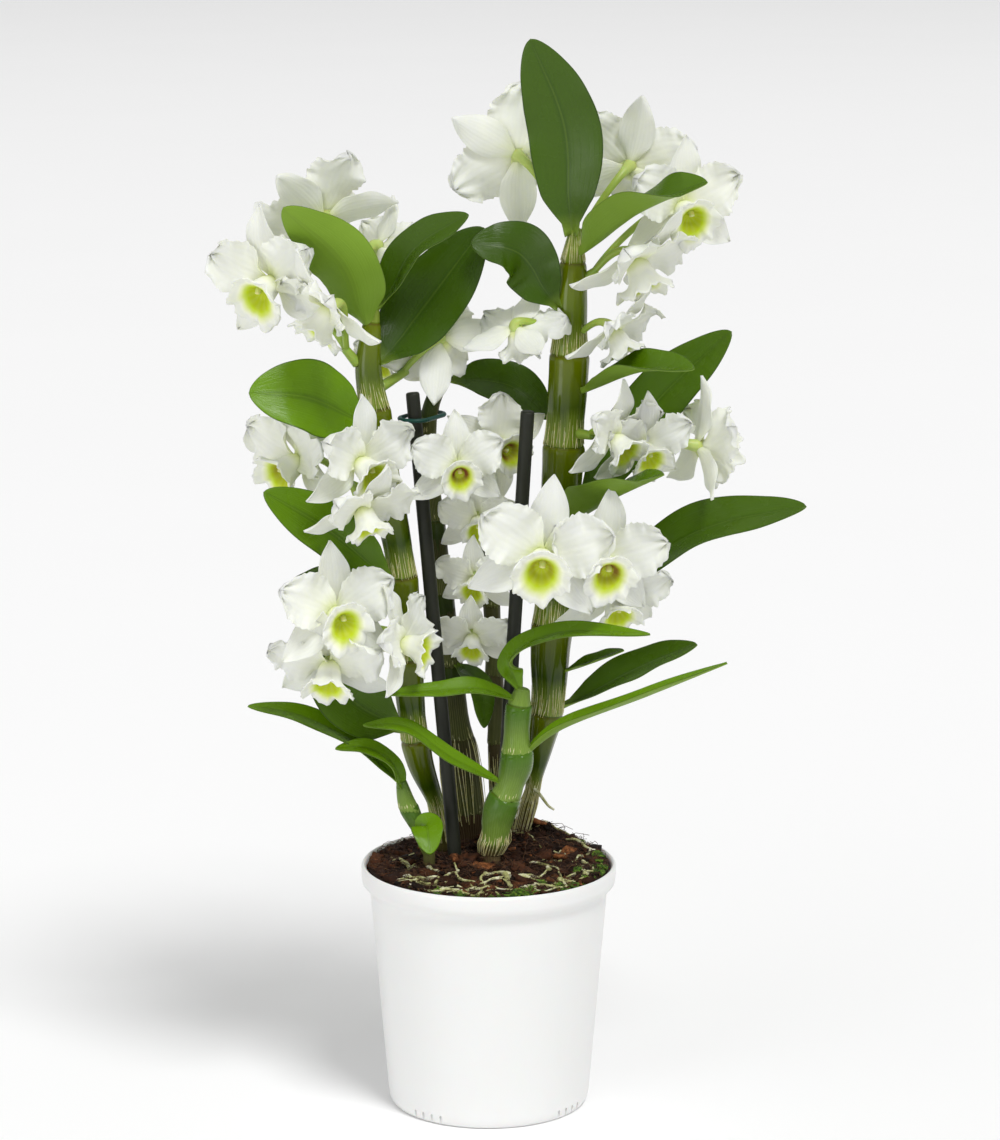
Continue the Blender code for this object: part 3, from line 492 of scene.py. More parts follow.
def petal_material(settings):
    """White tissue with faint veins and lime in the throat, greenish at its foot: partly its own tint,
    partly painted shade near the bloom's middle.
    """
    material, tree, shader = new_material(
        "petal_tissue", Subsurface_Weight=0.3, Subsurface_Scale=0.004,
        Subsurface_Radius=(1.0, 1.0, 0.55), Specular_IOR_Level=0.15)
    place = object_place(tree)
    patches = noise_at(tree, place, 260.0, 4.0)
    clouds = noise_at(tree, place, 45.0)
    # The painted value gives green at each tepal's foot and outside the lip's foot, partly its own tint and
    # partly painted shade, and lime deep in the throat, its own colour
    shade = math(tree, "ADD", painted(tree, "glow"), scaled(tree, patches, 0.14, -0.07))
    shade = math(tree, "ADD", shade, scaled(tree, clouds, 0.25, -0.1125))
    colour = ramp(tree, shade, [
        (0.0, rgba(settings.white)), (0.14, "#f1f3e2"), (0.34, "#e6ecba"), (0.58, "#d0de66"),
        (0.82, "#bfd31c"), (1.0, rgba(settings.lime))])
    veins = bands_at(tree, uv_place(tree), 3.0, 2.5, **{"Detail": 2.0, "Detail Scale": 1.2})
    colour = tinted(tree, colour, veins, 0.07, "#d9e0bb")
    blotch = math(tree, "MULTIPLY", painted(tree, "mark"), math(tree, "ADD", patches, 0.55))
    blotch = math(tree, "MINIMUM", math(tree, "MAXIMUM", blotch, 0.0), 1.0)
    colour = mix(tree, blotch, colour, srgb("#7a4426"))
    soft = noise_at(tree, place, 700.0, 2.0)
    relief = math(tree, "ADD", scaled(tree, veins, 0.7), scaled(tree, soft, 0.5))
    dress(tree, shader, colour, relief, 0.35, 0.25, scaled(tree, soft, 0.2, 0.5))
    return material


def waxy_material(name, tones, grain, speck, depth, **fixed):
    """Smooth living tissue with tones along the piece, speckled with another colour."""
    material, tree, shader = new_material(name, Subsurface_Scale=0.002, **fixed)
    mottle = noise_at(tree, object_place(tree), *grain)
    colour = tinted(tree, ramp(tree, painted(tree, "tone"), tones), mottle, *speck)
    dress(tree, shader, colour, mottle, 0.2, depth)
    return material


def stalk_material():
    """Lime-green stalks, paler towards the bloom."""
    tones = [(0.0, "#8ba63c"), (0.6, "#a9c14f"), (1.0, "#cfdc86")]
    return waxy_material("bloom_stalk", tones, (300.0, 3.0, 0.6), (0.5, "#7f9a33"), 0.2,
                         Subsurface_Weight=0.2, Roughness=0.38)


def column_material():
    """The waxy column and its cap in the throat."""
    tones = [(0.0, "#b9cc4a"), (0.6, "#cfd97c"), (0.85, "#dfe2a0")]
    return waxy_material("bloom_column", tones, (900.0, 3.0), (0.3, "#d7cf74"), 0.15,
                         Subsurface_Weight=0.3, Roughness=0.35)


def leaf_material(settings):
    """Glossy green with faint parallel veins, a creased midrib with painted shade in the crease beside it,
    and a paler underside.
    """
    material, tree, shader = new_material("leaf_blade", Specular_IOR_Level=0.26)
    uv, place = uv_place(tree), object_place(tree)
    axes = add_node(tree, "ShaderNodeSeparateXYZ", {0: uv})
    away = math(tree, "ABSOLUTE", scaled(tree, axes.outputs[0], 1.0, -0.5))
    under = painted(tree, "under")
    lines = noise_at(tree, uv, 1.0, 3.0, 0.55, (46.0, 1.6, 1.0))
    green = mix(tree, painted(tree, "tone"), rgba(settings.dark), rgba(settings.light))
    for factor, share, code in (
            (noise_at(tree, place, 40.0, 4.0, 0.55), 0.30, "#467505"),
            (lines, 0.25, "#2b5205"),
            # A dark band beside the midrib: painted shade in its crease
            (ramp(tree, away, [(0.0, 0), (0.018, 1), (0.07, 0)]), 0.35, "#1f3d05"),
            (ramp(tree, away, [(0.0, 1), (0.006, 1), (0.02, 0)]), 0.07, "#a3b85c"),
            (ramp(tree, away, [(0.0, 0), (0.478, 0), (0.5, 1)]), 0.75, "#1f350c"),
            (ramp(tree, axes.outputs[1], [(0.0, 1), (0.10, 0)]), 0.5, "#93ab45"),
            (under, 0.62, "#7f9d34")):
        green = tinted(tree, green, factor, share, code)
    rough = scaled(tree, noise_at(tree, place, 90.0), 0.24, 0.14)
    rough = scaled(tree, under, 0.22, rough)
    relief = scaled(tree, noise_at(tree, place, 900.0, 2.0), 0.25, lines)
    dress(tree, shader, green, relief, 0.45, 0.35, rough)
    return material


def cane_material(name, settings, bare, node, sheath, dry, cover, coat=0.45, lined=0.32):
    """A glossy bare cane under each joint, which turns above the joint into a veined sheath.

    cover is the share of a segment, from its joint up, over which the sheath fades out.
    """
    material, tree, shader = new_material(
        name, Specular_IOR_Level=0.10, Coat_Weight=coat, Coat_Roughness=0.07)
    uv, place = uv_place(tree), object_place(tree)
    joint, old = painted(tree, "joint"), painted(tree, "dry")
    streaks = noise_at(tree, uv, 1.0, 4.0, 0.6, (60.0, 5.0, 1.0))
    blots = noise_at(tree, place, 70.0, 3.0, 0.55)
    height = add_node(tree, "ShaderNodeSeparateXYZ", {0: place}).outputs[2]
    low = add_node(tree, "ShaderNodeMapRange", {
        "Value": height, 1: DEEP_GREEN_FROM * MM, 2: DEEP_GREEN_AT * MM}).outputs[0]
    deep = tuple(c * k for c, k in zip(bare, DEEP_GREEN))
    base = mix(tree, low, bare, deep)
    skin = mix(tree, ramp(tree, joint, [(0.45, 0), (0.97, 1)]), base, srgb(node))
    skin = mix(tree, scaled(tree, blots, 0.5), skin, base)
    skin = tinted(tree, skin, streaks, 0.22, "#3a4a04")
    paper = tinted(tree, srgb(sheath), streaks, 0.6, "#4c640f")
    wander = noise_at(tree, uv, 1.0, 2.0, 0.5, (5.0, 1.0, 1.0))
    ragged = math(tree, "ADD", joint, scaled(tree, wander, 0.3, -0.15))
    covered = ramp(tree, ragged, [(0.0, 1), (cover * 0.4, 0.75), (cover, 0)])
    colour = mix(tree, covered, skin, paper)
    lines = bands_at(tree, uv, settings.veins * 2 * pi / 20, 1.2, Detail=1.0)
    sharp = math(tree, "POWER", lines, 4.0)
    lit = math(tree, "MULTIPLY", sharp, covered)
    colour = mix(tree, scaled(tree, lit, lined), colour, rgba(settings.straw))
    ring = ramp(tree, joint, [(0.0, 1), (0.02, 0), (0.965, 0), (0.995, 1)])
    colour = tinted(tree, colour, ring, 0.7, "#4f3f0c")
    papery = tinted(tree, srgb(dry), sharp, 0.3, "#b5a880")
    papery = tinted(tree, papery, streaks, 0.8, "#33261a")
    colour = mix(tree, old, colour, papery)
    rough = scaled(tree, old, 0.35, scaled(tree, covered, 0.2, 0.22))
    relief = scaled(tree, streaks, 0.4, math(tree, "MULTIPLY", lines, covered))
    dress(tree, shader, colour, relief, 0.4, 0.3, rough)
    return material


def strand_material(name, colours, scale=500.0, roughness=0.7):
    """A mottled finish for fine fibres and roots, from dark to light."""
    material, tree, shader = new_material(name, Roughness=roughness)
    patches = noise_at(tree, object_place(tree), scale, 4.0, 0.65)
    colour = ramp(tree, patches, list(zip((0.3, 0.5, 0.68), colours)))
    dress(tree, shader, colour, patches, 0.4, 0.3)
    return material


def bark_material():
    """Damp bark from near black to orange brown, each chip with its own tone."""
    material, tree, shader = new_material("bark", Specular_IOR_Level=0.15)
    grain = noise_at(tree, object_place(tree), 600.0, 5.0, 0.7)
    chip = math(tree, "ADD", painted(tree, "tone"), scaled(tree, grain, 0.8, -0.4))
    colour = ramp(tree, chip, [
        (0.0, "#0f0805"), (0.35, "#21120a"), (0.65, "#371e11"), (0.90, "#57321b"), (1.0, "#8f5a35")])
    dress(tree, shader, colour, grain, 0.8, 0.6, scaled(tree, grain, 0.4, 0.5))
    return material


def pot_material():
    """White moulded plastic with faint flow marks and scuffs."""
    material, tree, shader = new_material(
        "pot_white", Subsurface_Weight=0.08, Subsurface_Scale=0.004, Coat_Weight=0.1,
        Coat_Roughness=0.25)
    place = object_place(tree)
    scuffs = noise_at(tree, place, 38.0, 5.0, 0.6, (1, 1, 0.35))
    colour = tinted(tree, srgb("#ebebea"), scuffs, 0.35, "#e2e1de")
    relief = scaled(tree, scuffs, 2.0, noise_at(tree, place, 900.0))
    dress(tree, shader, colour, relief, 0.12, 0.2, scaled(tree, scuffs, 0.22, 0.24))
    return material


def plastic_material(name, dark, light, roughness):
    """Extruded plastic with fine lengthwise drag lines and dust."""
    material, tree, shader = new_material(name, Specular_IOR_Level=0.3)
    place = object_place(tree)
    lines = noise_at(tree, place, 700.0, 3.0, 0.6, (1, 1, 0.03))
    dust = noise_at(tree, place, 60.0, 5.0, 0.7)
    colour = tinted(tree, srgb(dark), dust, 0.6, light)
    dress(tree, shader, colour, lines, 0.25, 0.25, scaled(tree, lines, 0.25, roughness))
    return material


def linked(name, data):
    """A new object with that data, in the scene."""
    made = bpy.data.objects.new(name, data)
    bpy.context.scene.collection.objects.link(made)
    return made


def turns(count):
    """Angles of that many even steps of a full turn."""
    return np.arange(count) / count * 2 * pi


def around(angle, radius):
    """Offsets from an upright axis at those angles and radii."""
    return np.stack([np.cos(angle) * radius, np.sin(angle) * radius, 0 * angle * radius], axis=-1)


class Draft:
    """Gathers closed rings of points, in millimetres, into one mesh with UVs and painted values."""

    PAINTED = ("tone", "under", "glow", "mark", "joint", "dry")

    def __init__(self):
        self.count = 0
        self.points, self.quads, self.quad_uvs, self.quad_finish = [], [], [], []
        self.caps, self.cap_uvs, self.cap_finish = [], [], []
        self.painted = {name: [] for name in self.PAINTED}

    def rings(self, points, across, along, finish=0, seam=False, **values):
        """Adds rows of closed rings joined in order, with both ends capped."""
        rows, columns = points.shape[:2]
        index = self.count + np.arange(rows * columns).reshape(rows, columns)
        beside = np.roll(index, -1, axis=1)
        corners = (index[:-1], beside[:-1], beside[1:], index[1:])
        self.quads.append(np.stack(corners, axis=-1).reshape(-1, 4))
        u = np.broadcast_to(across, (rows, columns))
        v = np.broadcast_to(along, (rows, columns))
        u_beside = np.roll(u, -1, axis=1).copy()
        if seam:
            u_beside[:, -1] = 1.0
        v_beside = np.roll(v, -1, axis=1)
        pairs = ((u[:-1], v[:-1]), (u_beside[:-1], v_beside[:-1]), (u_beside[1:], v_beside[1:]),
                 (u[1:], v[1:]))
        uvs = np.stack([np.stack(pair, axis=-1) for pair in pairs], axis=2)
        self.quad_uvs.append(uvs.reshape(-1, 2))
        self.quad_finish.append(np.full((rows - 1) * columns, finish))
        for row, turn in ((0, -1), (-1, 1)):
            self.caps.append(index[row][::turn].tolist())
            self.cap_uvs.append(np.stack([u[row][::turn], v[row][::turn]], axis=-1))
            self.cap_finish.append(finish)
        self.points.append(points.reshape(-1, 3))
        for name in self.PAINTED:
            painted_values = np.broadcast_to(values.get(name, 0.0), (rows, columns))
            self.painted[name].append(painted_values.reshape(-1))
        self.count += rows * columns

    def build(self, name, materials):
        """The mesh object, in metres and smooth, with one material for each finish number."""
        mesh = bpy.data.meshes.new(name)
        faces = np.concatenate(self.quads).tolist() + self.caps
        mesh.from_pydata((np.concatenate(self.points) * MM).tolist(), [], faces)
        layer = mesh.uv_layers.new(name="UVMap")
        uvs = np.concatenate(self.quad_uvs + self.cap_uvs).astype(np.float32)
        layer.data.foreach_set("uv", uvs.ravel())
        finishes = np.concatenate(self.quad_finish + [np.array(self.cap_finish)]).astype(np.int32)
        for material in materials:
            mesh.materials.append(material)
        mesh.polygons.foreach_set("material_index", finishes)
        for name_of, chunks in self.painted.items():
            values = np.concatenate(chunks).astype(np.float32)
            if values.any():
                mesh.attributes.new(name_of, "FLOAT", "POINT").data.foreach_set("value", values)
        mesh.shade_smooth()
        return linked(name, mesh)


def place_piece(piece, slot, *nodes):
    """Rides on the plant and stands for its CAD nodes, which it hides."""
    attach(piece, "root")
    if nodes:
        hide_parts(*nodes)
    return piece


def smooth_route(knots, t):
    """Points on the smooth curve through the knots, for an array of t from 0 to 1."""
    knots = np.asarray(knots, float)
    last = len(knots) - 1
    at = np.clip(np.asarray(t, float), 0, 1) * last
    i = np.minimum(at.astype(int), last - 1)
    f = (at - i)[..., None]
    padded = np.concatenate([[2 * knots[0] - knots[1]], knots, [2 * knots[-1] - knots[-2]]])
    a, b, c, d = padded[i], padded[i + 1], padded[i + 2], padded[i + 3]
    return 0.5 * (2 * b + (c - a) * f + (2 * a - 5 * b + 4 * c - d) * f ** 2
                  + (3 * b - a - 3 * c + d) * f ** 3)


def unit(vectors):
    """The vectors, each one long."""
    length = np.linalg.norm(vectors, axis=-1, keepdims=True)
    return vectors / np.maximum(length, 1e-9)


def frames_along(centres):
    """Side and up directions along a route, turned as little as possible."""
    forward = unit(np.gradient(centres, axis=0))
    side = np.zeros_like(forward)
    start = np.cross(forward[0], (0.0, 0.0, 1.0))
    if np.linalg.norm(start) < 0.1:
        start = np.array((1.0, 0.0, 0.0))
    side[0] = unit(start)
    for i in range(1, len(centres)):
        side[i] = unit(side[i - 1] - forward[i] * np.dot(side[i - 1], forward[i]))
    return side, np.cross(side, forward)


def add_tube(draft, centres, radii, sides, finish=0, along=None, **values):
    """A round bar along a route. radii holds one number for each row or each point of a ring."""
    centres = np.asarray(centres, float)
    side, up = frames_along(centres)
    angle = turns(sides)
    radii = np.asarray(radii, float)
    if radii.ndim == 1:
        radii = radii[:, None]
    ring = np.cos(angle)[None, :, None] * up[:, None, :] + np.sin(angle)[None, :, None] * side[:, None, :]
    points = centres[:, None, :] + ring * radii[..., None]
    steps = np.linalg.norm(np.diff(centres, axis=0), axis=1)
    length = np.concatenate([[0], np.cumsum(steps)])
    v = (length / max(length[-1], 1e-6))[:, None] if along is None else along
    draft.rings(points[:, ::-1], (1 - (angle / (2 * pi))[::-1])[None, :], v, finish,
                **{name: value if np.ndim(value) != 1 else np.asarray(value)[:, None]
                   for name, value in values.items()})


def add_blade(draft, surface, across, along, thickness, finish=0, **values):
    """A closed blade round a sheet of points, thinner to its edges and rounded there.

    surface has a row for each along value and a column for each across value, -1 to 1.
    """
    d_across = np.gradient(surface, axis=1)
    d_along = np.gradient(surface, axis=0)
    normal = unit(np.cross(d_across, d_along))
    normal[0] = normal[1]
    normal[-1] = normal[-2]
    share = 0.25 + 0.75 * np.sqrt(np.clip(1 - across ** 2, 0, 1))
    half = 0.5 * thickness * share[None, :, None]
    top = surface + normal * half
    below = (surface - normal * half)[:, ::-1]
    points = np.concatenate([top, below], axis=1)
    u = np.concatenate([(across + 1) / 2, ((across + 1) / 2)[::-1]])[None, :]
    under = np.concatenate([np.zeros(len(across)), np.ones(len(across))])[None, :]

    def both(value):
        """A value for the upper side, repeated for the lower one."""
        value = np.asarray(value, float)
        if value.ndim < 2:
            return value
        value = np.broadcast_to(value, surface.shape[:2])
        return np.concatenate([value, value[:, ::-1]], axis=1)

    draft.rings(points, u, along[:, None], finish, under=under,
                **{name: both(value) for name, value in values.items()})


# A stem's thickness along a segment, from a joint to the next: it steps in above each joint
# and has a waist where the veins fray and a round shoulder under the next joint
STEM_SHARES = (0.0, 0.02, 0.08, 0.18, 0.28, 0.40, 0.55, 0.75, 0.88, 0.93, 0.955, 0.975, 0.99, 1.0)
STEM_SWELL = (0.95, 0.955, 0.95, 0.93, 0.925, 0.95, 0.98, 1.0, 1.03, 1.045, 1.04, 1.02, 0.985, 0.94)


class Stem:
    """A cane or shoot: where its axis is and how thick it is at any height."""

    def __init__(self, first_joint, pitch, route):
        self.first_joint, self.pitch = first_joint, pitch
        self.fine = smooth_route(route, np.linspace(0, 1, 600))
        self.heights = np.maximum.accumulate(self.fine[:, 2])
        self.foot, self.top = route[0][2], route[-1][2]

    def at(self, height):
        """Axis points and radii for an array of heights."""
        columns = [np.interp(height, self.heights, self.fine[:, i]) for i in range(4)]
        return np.stack(columns[:3], axis=-1), columns[3]

    def joint_share(self, height):
        """How far a height is from the joint below it to the next one, from 0 to 1."""
        return ((np.asarray(height) - self.first_joint) / self.pitch) % 1.0

    def radius(self, height):
        """The thickness at a height, with its swell along the segment."""
        return self.at(height)[1] * np.interp(self.joint_share(height), STEM_SHARES, STEM_SWELL)

    def surface_point(self, height, towards, clear):
        """The place on the stem's skin that looks towards a point, or clear of it."""
        axis, radius = self.at(height)
        out = np.array([towards[0] - axis[0], towards[1] - axis[1], 0.0])
        return axis + unit(out) * (radius * 1.04 + clear)


def all_stems():
    """The canes and shoots by name."""
    return {name: Stem(*row) for name, row in {**CANES, **SHOOTS}.items()}


def leaf_outline(along):
    """Half width of a strap leaf as a share of its widest."""
    swell = np.sin(pi * np.clip(along, 0, 1) ** 0.92).clip(0, 1) ** 0.58
    swell = swell * (0.6 + 0.4 * np.clip(along / 0.17, 0, 1))
    return np.maximum(swell, 0.36 * (1 - along) ** 5)


def add_leaf(draft, knots, face, width, fold_deg, tone, clasp, rng, finish=0, tip_turn=0.0):
    """A leaf along its route: folded at the midrib, clasping at its foot, faintly waved."""
    rows, columns = 64, 25
    along = 1 - (1 - np.linspace(0, 1, rows)) ** 1.15
    across = np.sin(np.linspace(-pi / 2, pi / 2, columns))
    centre = smooth_route(knots, along)
    forward = unit(np.gradient(centre, axis=0))
    right = unit(np.cross(forward, np.asarray(face, float)))
    normal = np.cross(right, forward)
    turn = -radians(tip_turn) * np.clip((along - 0.35) / 0.5, 0, 1)[:, None] ** 1.5
    right, normal = (right * np.cos(turn) + normal * np.sin(turn),
                     normal * np.cos(turn) - right * np.sin(turn))
    half = np.maximum(0.5 * width * leaf_outline(along), 0.12)
    half[0] = max(half[0], 0.2 * width)
    reach = half[:, None] * across[None, :]
    fold = radians(fold_deg) * (1.25 - 0.5 * along) + clasp * np.exp(-along / 0.06)
    fold = np.minimum(fold, radians(80))[:, None]
    groove = 0.06 * width
    lift = (np.sqrt(reach ** 2 + groove ** 2) - groove) * np.sin(fold)
    phase = rng.uniform(0, 2 * pi, 2)
    side = np.where(across > 0, phase[0], phase[1])[None, :]
    wave = 0.035 * width * np.abs(across)[None, :] ** 3 * np.sin(2 * pi * 2.2 * along[:, None] + side)
    wave *= np.sin(pi * along)[:, None]
    surface = (centre[:, None, :] + right[:, None, :] * (reach * np.cos(fold))[..., None]
               + normal[:, None, :] * (lift + wave)[..., None])
    add_blade(draft, surface, across, along, LEAF_THICKNESS, finish, tone=tone)


def bloom_frame(at, facing, roll):
    """The turn from a bloom that faces the front, dorsal sepal up, to where this one looks."""
    azimuth, elevation = facing
    turn = (Matrix.Rotation(radians(azimuth), 4, "Z") @ Matrix.Rotation(-radians(elevation), 4, "X")
            @ Matrix.Rotation(radians(roll), 4, "Y"))
    return Matrix.Translation(Vector(at)) @ turn


def moved(points, matrix):
    """The points through a 4 by 4 matrix."""
    m = np.array(matrix)
    return points @ m[:3, :3].T + m[:3, 3]


def add_tepal(draft, frame, row, shape, scale, thickness, ruffle, rng, ruffled):
    """A sepal or petal: cupped, grooved along its middle, with a waved and nicked edge."""
    clock, lean_foot, lean_tip = row
    length, width, ahead = shape
    rows, columns = (40, 27) if ruffled else (30, 15)
    along = np.linspace(0, 1, rows)
    across = np.sin(np.linspace(-pi / 2, pi / 2, columns)) * 0.999
    a, c = along[:, None], across[None, :]
    foot, tip = radians(lean_foot), radians(lean_tip)
    lean = foot + (tip - foot) * a / 2
    shift, blunt = (1.08, 0.55) if ruffled else (0.94, 0.82)
    outline = (0.5 + 0.5 * np.minimum(1, along / 0.3)) * np.sin(pi * along ** shift).clip(0, 1) ** blunt
    half = np.maximum(0.5 * width * outline, 0.25)[:, None]
    edge = np.abs(c)
    phases = rng.uniform(0, 2 * pi, 8)
    length_here = length * a

    def waved(count, right, left):
        """Waves along the tepal, out of step on its two halves."""
        return np.sin(2 * pi * count * a + np.where(c > 0, phases[right], phases[left]))

    bend = rng.uniform(-0.6, 0.6)
    forward = ahead + np.sin(lean) * length * a + 0.09 * width * c ** 2
    forward = forward - 0.35 * np.exp(-(c / 0.10) ** 2) * np.sin(pi * a)
    if ruffled:
        forward = forward + PETAL_WAVE * c * np.sin(4 * pi * a)
        waves = waved(4.3, 0, 1) + 0.5 * waved(8.1, 2, 3)
        forward = forward + ruffle * edge ** 4 * waves * (0.25 + 0.75 * a)
        forward = forward + 1.5 * ruffle * edge ** 2 * waved(1.4, 7, 5) * a
        forward = forward + 1.3 * ruffle * np.sin(2 * pi * 1.6 * c + phases[4]) * a ** 6
        nicks = waved(11, 5, 6) + 0.7 * waved(23, 6, 7)
        half = half * (1 + 0.028 * nicks * edge ** 6)
        length_here = length_here * (1 + 0.012 * np.sin(9 * pi * c + phases[7]) * a ** 8)
    else:
        forward = forward + 0.45 * ruffle * edge ** 3 * waved(2.1, 0, 1)
        forward = forward + bend * 3.0 * a ** 3
    sway = rng.uniform(-2.2, 2.2) * a ** 2
    local = np.stack([half * c + sway, -forward + 0 * c, np.cos(lean) * length_here + 0 * c], axis=-1)
    surface = moved(local * scale, frame @ Matrix.Rotation(radians(clock), 4, "Y"))
    # Green towards the foot: partly the tepal's own tint, partly painted shade near the bloom's middle
    glow = 0.5 * np.exp(-along / 0.2)[:, None] + 0 * c
    add_blade(draft, surface, across, along, thickness, 0, glow=glow)


def add_lip(draft, frame, scale, ruffle, mark, rng):
    """The trumpet in the bloom's middle, frilled at its rim and lime in its throat."""
    columns = 72
    outer = smooth_route(LIP_OUTER, np.linspace(0, 1, 20))
    inner = smooth_route(LIP_INNER, np.linspace(0, 1, 22))
    profile = np.concatenate([outer, inner])
    spread, out = profile[:, :1], profile[:, 1:]
    inside = np.concatenate([np.zeros(20), np.ones(22)])[:, None]
    angle = turns(columns)[None, :]
    phases = rng.uniform(0, 2 * pi, 6)
    below = np.maximum(0, -np.sin(angle))
    rim = np.clip((spread - 0.45) / 0.55, 0, 1) ** 1.6
    frill = (np.sin(7 * angle + phases[0]) + 0.6 * np.sin(12 * angle + phases[1])
             + 0.35 * np.sin(19 * angle + phases[2]))
    fine = np.sin(29 * angle + phases[3]) + 0.8 * np.sin(41 * angle + phases[4])
    radius = spread * LIP_RADIUS * (1 + rim * (0.28 * below + 0.05 * np.cos(4 * angle)))
    radius = radius * (1 + rim ** 2 * (0.035 * frill + 0.018 * fine))
    forward = PETAL[2] / 2 + out * LIP_REACH * (1 - rim * 0.14 * below)
    forward = forward + rim * (1.2 * np.cos(4 * angle) + 0.75 * ruffle * frill)
    cleft = np.exp(-((np.abs(np.sin(angle / 2 + pi / 4))) / 0.16) ** 2)
    forward = forward - 1.2 * rim * cleft
    local = np.stack([radius * np.cos(angle), -forward, radius * np.sin(angle)], axis=-1)
    turn = frame @ Matrix.Rotation(radians(LIP_DROOP_DEG), 4, "X")
    # Lime deep in the throat is its own colour; the green outside towards the lip's foot is partly its own
    # tint and partly painted shade
    deep = np.clip((0.80 + 0.14 * below - spread) / 0.44, 0, 1)
    glow = inside * deep ** 1.2 + (1 - inside) * 0.55 * np.clip(1 - out * 1.8, 0, 1)
    heart = np.clip((0.50 - spread) / 0.14, 0, 1) * np.clip((spread - 0.20) / 0.08, 0, 1)
    stain = inside * mark ** 1.4 * heart * (0.3 + 0.7 * (1 - below))
    draft.rings(moved(local * scale, turn), angle / (2 * pi), out + 0 * angle, 0, seam=True,
                glow=glow + 0 * angle, mark=stain)
    steps = np.linspace(0, 1, 14)
    radii = np.interp(steps, COLUMN_SHARES, COLUMN_RADII)
    add_tube(draft, moved(smooth_route(COLUMN_ROUTE, steps) * scale, turn), radii * scale, 18, 2,
             tone=np.linspace(0.1, 0.95, 14))


def stalk_route(root, frame, scale, steps=26):
    """Points of a bloom's stalk, hooked over behind the bloom, and their radii."""
    facing = np.array((frame.to_3x3() @ Vector((0, -1, 0))).normalized())
    end = np.array(frame.translation) + facing * PETAL[2] * scale
    away = np.linalg.norm(end - root)
    up = np.array((0.0, 0.0, 1.0))
    first = root + (end - root) * 0.25 + up * 0.15 * away
    last = end - facing * max(11.0 * scale, 0.3 * away) + up * 0.05 * away
    t = np.linspace(0, 1, steps)[:, None]
    places = (root * (1 - t) ** 3 + first * 3 * t * (1 - t) ** 2 + last * 3 * t * t * (1 - t)
              + end * t ** 3)
    t = t[:, 0]
    return places, STALK_RADIUS * (0.85 + 0.25 * t + 0.9 * t ** 6), t


def add_bloom(draft, root, row, settings, rng):
    """A bloom's tepals, lip and column, then its stalk from that root."""
    at, facing, roll, span, mark = row
    scale = span / NOMINAL_SPAN
    frame = bloom_frame(at, facing, roll)
    thickness, ruffle = settings.thickness / MM, settings.ruffle / MM
    for sepal in SEPALS:
        add_tepal(draft, frame, sepal, SEPAL, scale, thickness, ruffle, rng, False)
    for petal in PETALS:
        add_tepal(draft, frame, petal, PETAL, scale, thickness, ruffle, rng, True)
    add_lip(draft, frame, scale, ruffle, mark, rng)
    places, radii, t = stalk_route(root, frame, scale)
    add_tube(draft, places, radii, 16, 1, tone=t)


def new_tree(name, inputs):
    """An empty geometry tree with a Geometry input and output and the named inputs."""
    tree = bpy.data.node_groups.new(name, "GeometryNodeTree")
    tree.interface.new_socket("Geometry", in_out="INPUT", socket_type="NodeSocketGeometry")
    for label, kind, value in inputs:
        made = tree.interface.new_socket(label, in_out="INPUT", socket_type="NodeSocket" + kind)
        if value is not None:
            made.default_value = value
    tree.interface.new_socket("Geometry", in_out="OUTPUT", socket_type="NodeSocketGeometry")
    return tree, tree.nodes.new("NodeGroupInput"), tree.nodes.new("NodeGroupOutput")


def finish_tree(tree, geometry, given, output):
    """Ends a tree: instances made real, smooth, and given the tree's material."""
    real = add_node(tree, "GeometryNodeRealizeInstances", {"Geometry": geometry})
    smooth = add_node(tree, "GeometryNodeSetShadeSmooth", {"Geometry": real.outputs[0]})
    dressed = add_node(tree, "GeometryNodeSetMaterial", {
        "Geometry": smooth.outputs[0], "Material": given.outputs["Material"]})
    tree.links.new(dressed.outputs[0], output.inputs[0])


def tube_of(tree, curve, sides, radius, scale=1.0):
    """A closed tube along a curve, its radius times the scale at each point."""
    circle = add_node(tree, "GeometryNodeCurvePrimitiveCircle", {"Resolution": sides, "Radius": radius})
    return add_node(tree, "GeometryNodeCurveToMesh", {
        "Curve": curve, "Profile Curve": circle.outputs[0], "Scale": scale, "Fill Caps": True}).outputs[0]


def scattered(tree, given, shape, lean, smallest, largest):
    """Copies of a shape over the base, each turned and sized at random."""
    seed = given.outputs["Seed"]
    spots = add_node(tree, "GeometryNodeDistributePointsOnFaces", {
        "Mesh": given.outputs["Geometry"], "Density": given.outputs["Density"], "Seed": seed})
    turn = add_node(tree, "FunctionNodeRandomValue", {
        0: (-lean, -lean, 0.0), 1: (lean, lean, 6.283), "Seed": seed}, data_type="FLOAT_VECTOR")
    size = add_node(tree, "FunctionNodeRandomValue", {2: smallest, 3: largest, "Seed": seed},
                    data_type="FLOAT")
    return add_node(tree, "GeometryNodeInstanceOnPoints", {
        "Points": spots.outputs["Points"], "Instance": shape, "Rotation": turn.outputs[0],
        "Scale": math(tree, "MULTIPLY", size.outputs[1], given.outputs["Length"])}).outputs[0]


def shaken(tree, geometry, scale, amount):
    """The geometry made real, its points pushed about by noise."""
    real = add_node(tree, "GeometryNodeRealizeInstances", {"Geometry": geometry})
    jitter = add_node(tree, "ShaderNodeTexNoise", {"Scale": scale, "Detail": 2.0})
    centred = add_node(tree, "ShaderNodeVectorMath", {
        0: jitter.outputs["Color"], 1: (0.5, 0.5, 0.5)}, operation="SUBTRACT")
    pushed = add_node(tree, "ShaderNodeVectorMath", {0: centred.outputs[0], "Scale": amount},
                      operation="SCALE")
    return add_node(tree, "GeometryNodeSetPosition", {
        "Geometry": real.outputs[0], "Offset": pushed.outputs[0]}).outputs[0]


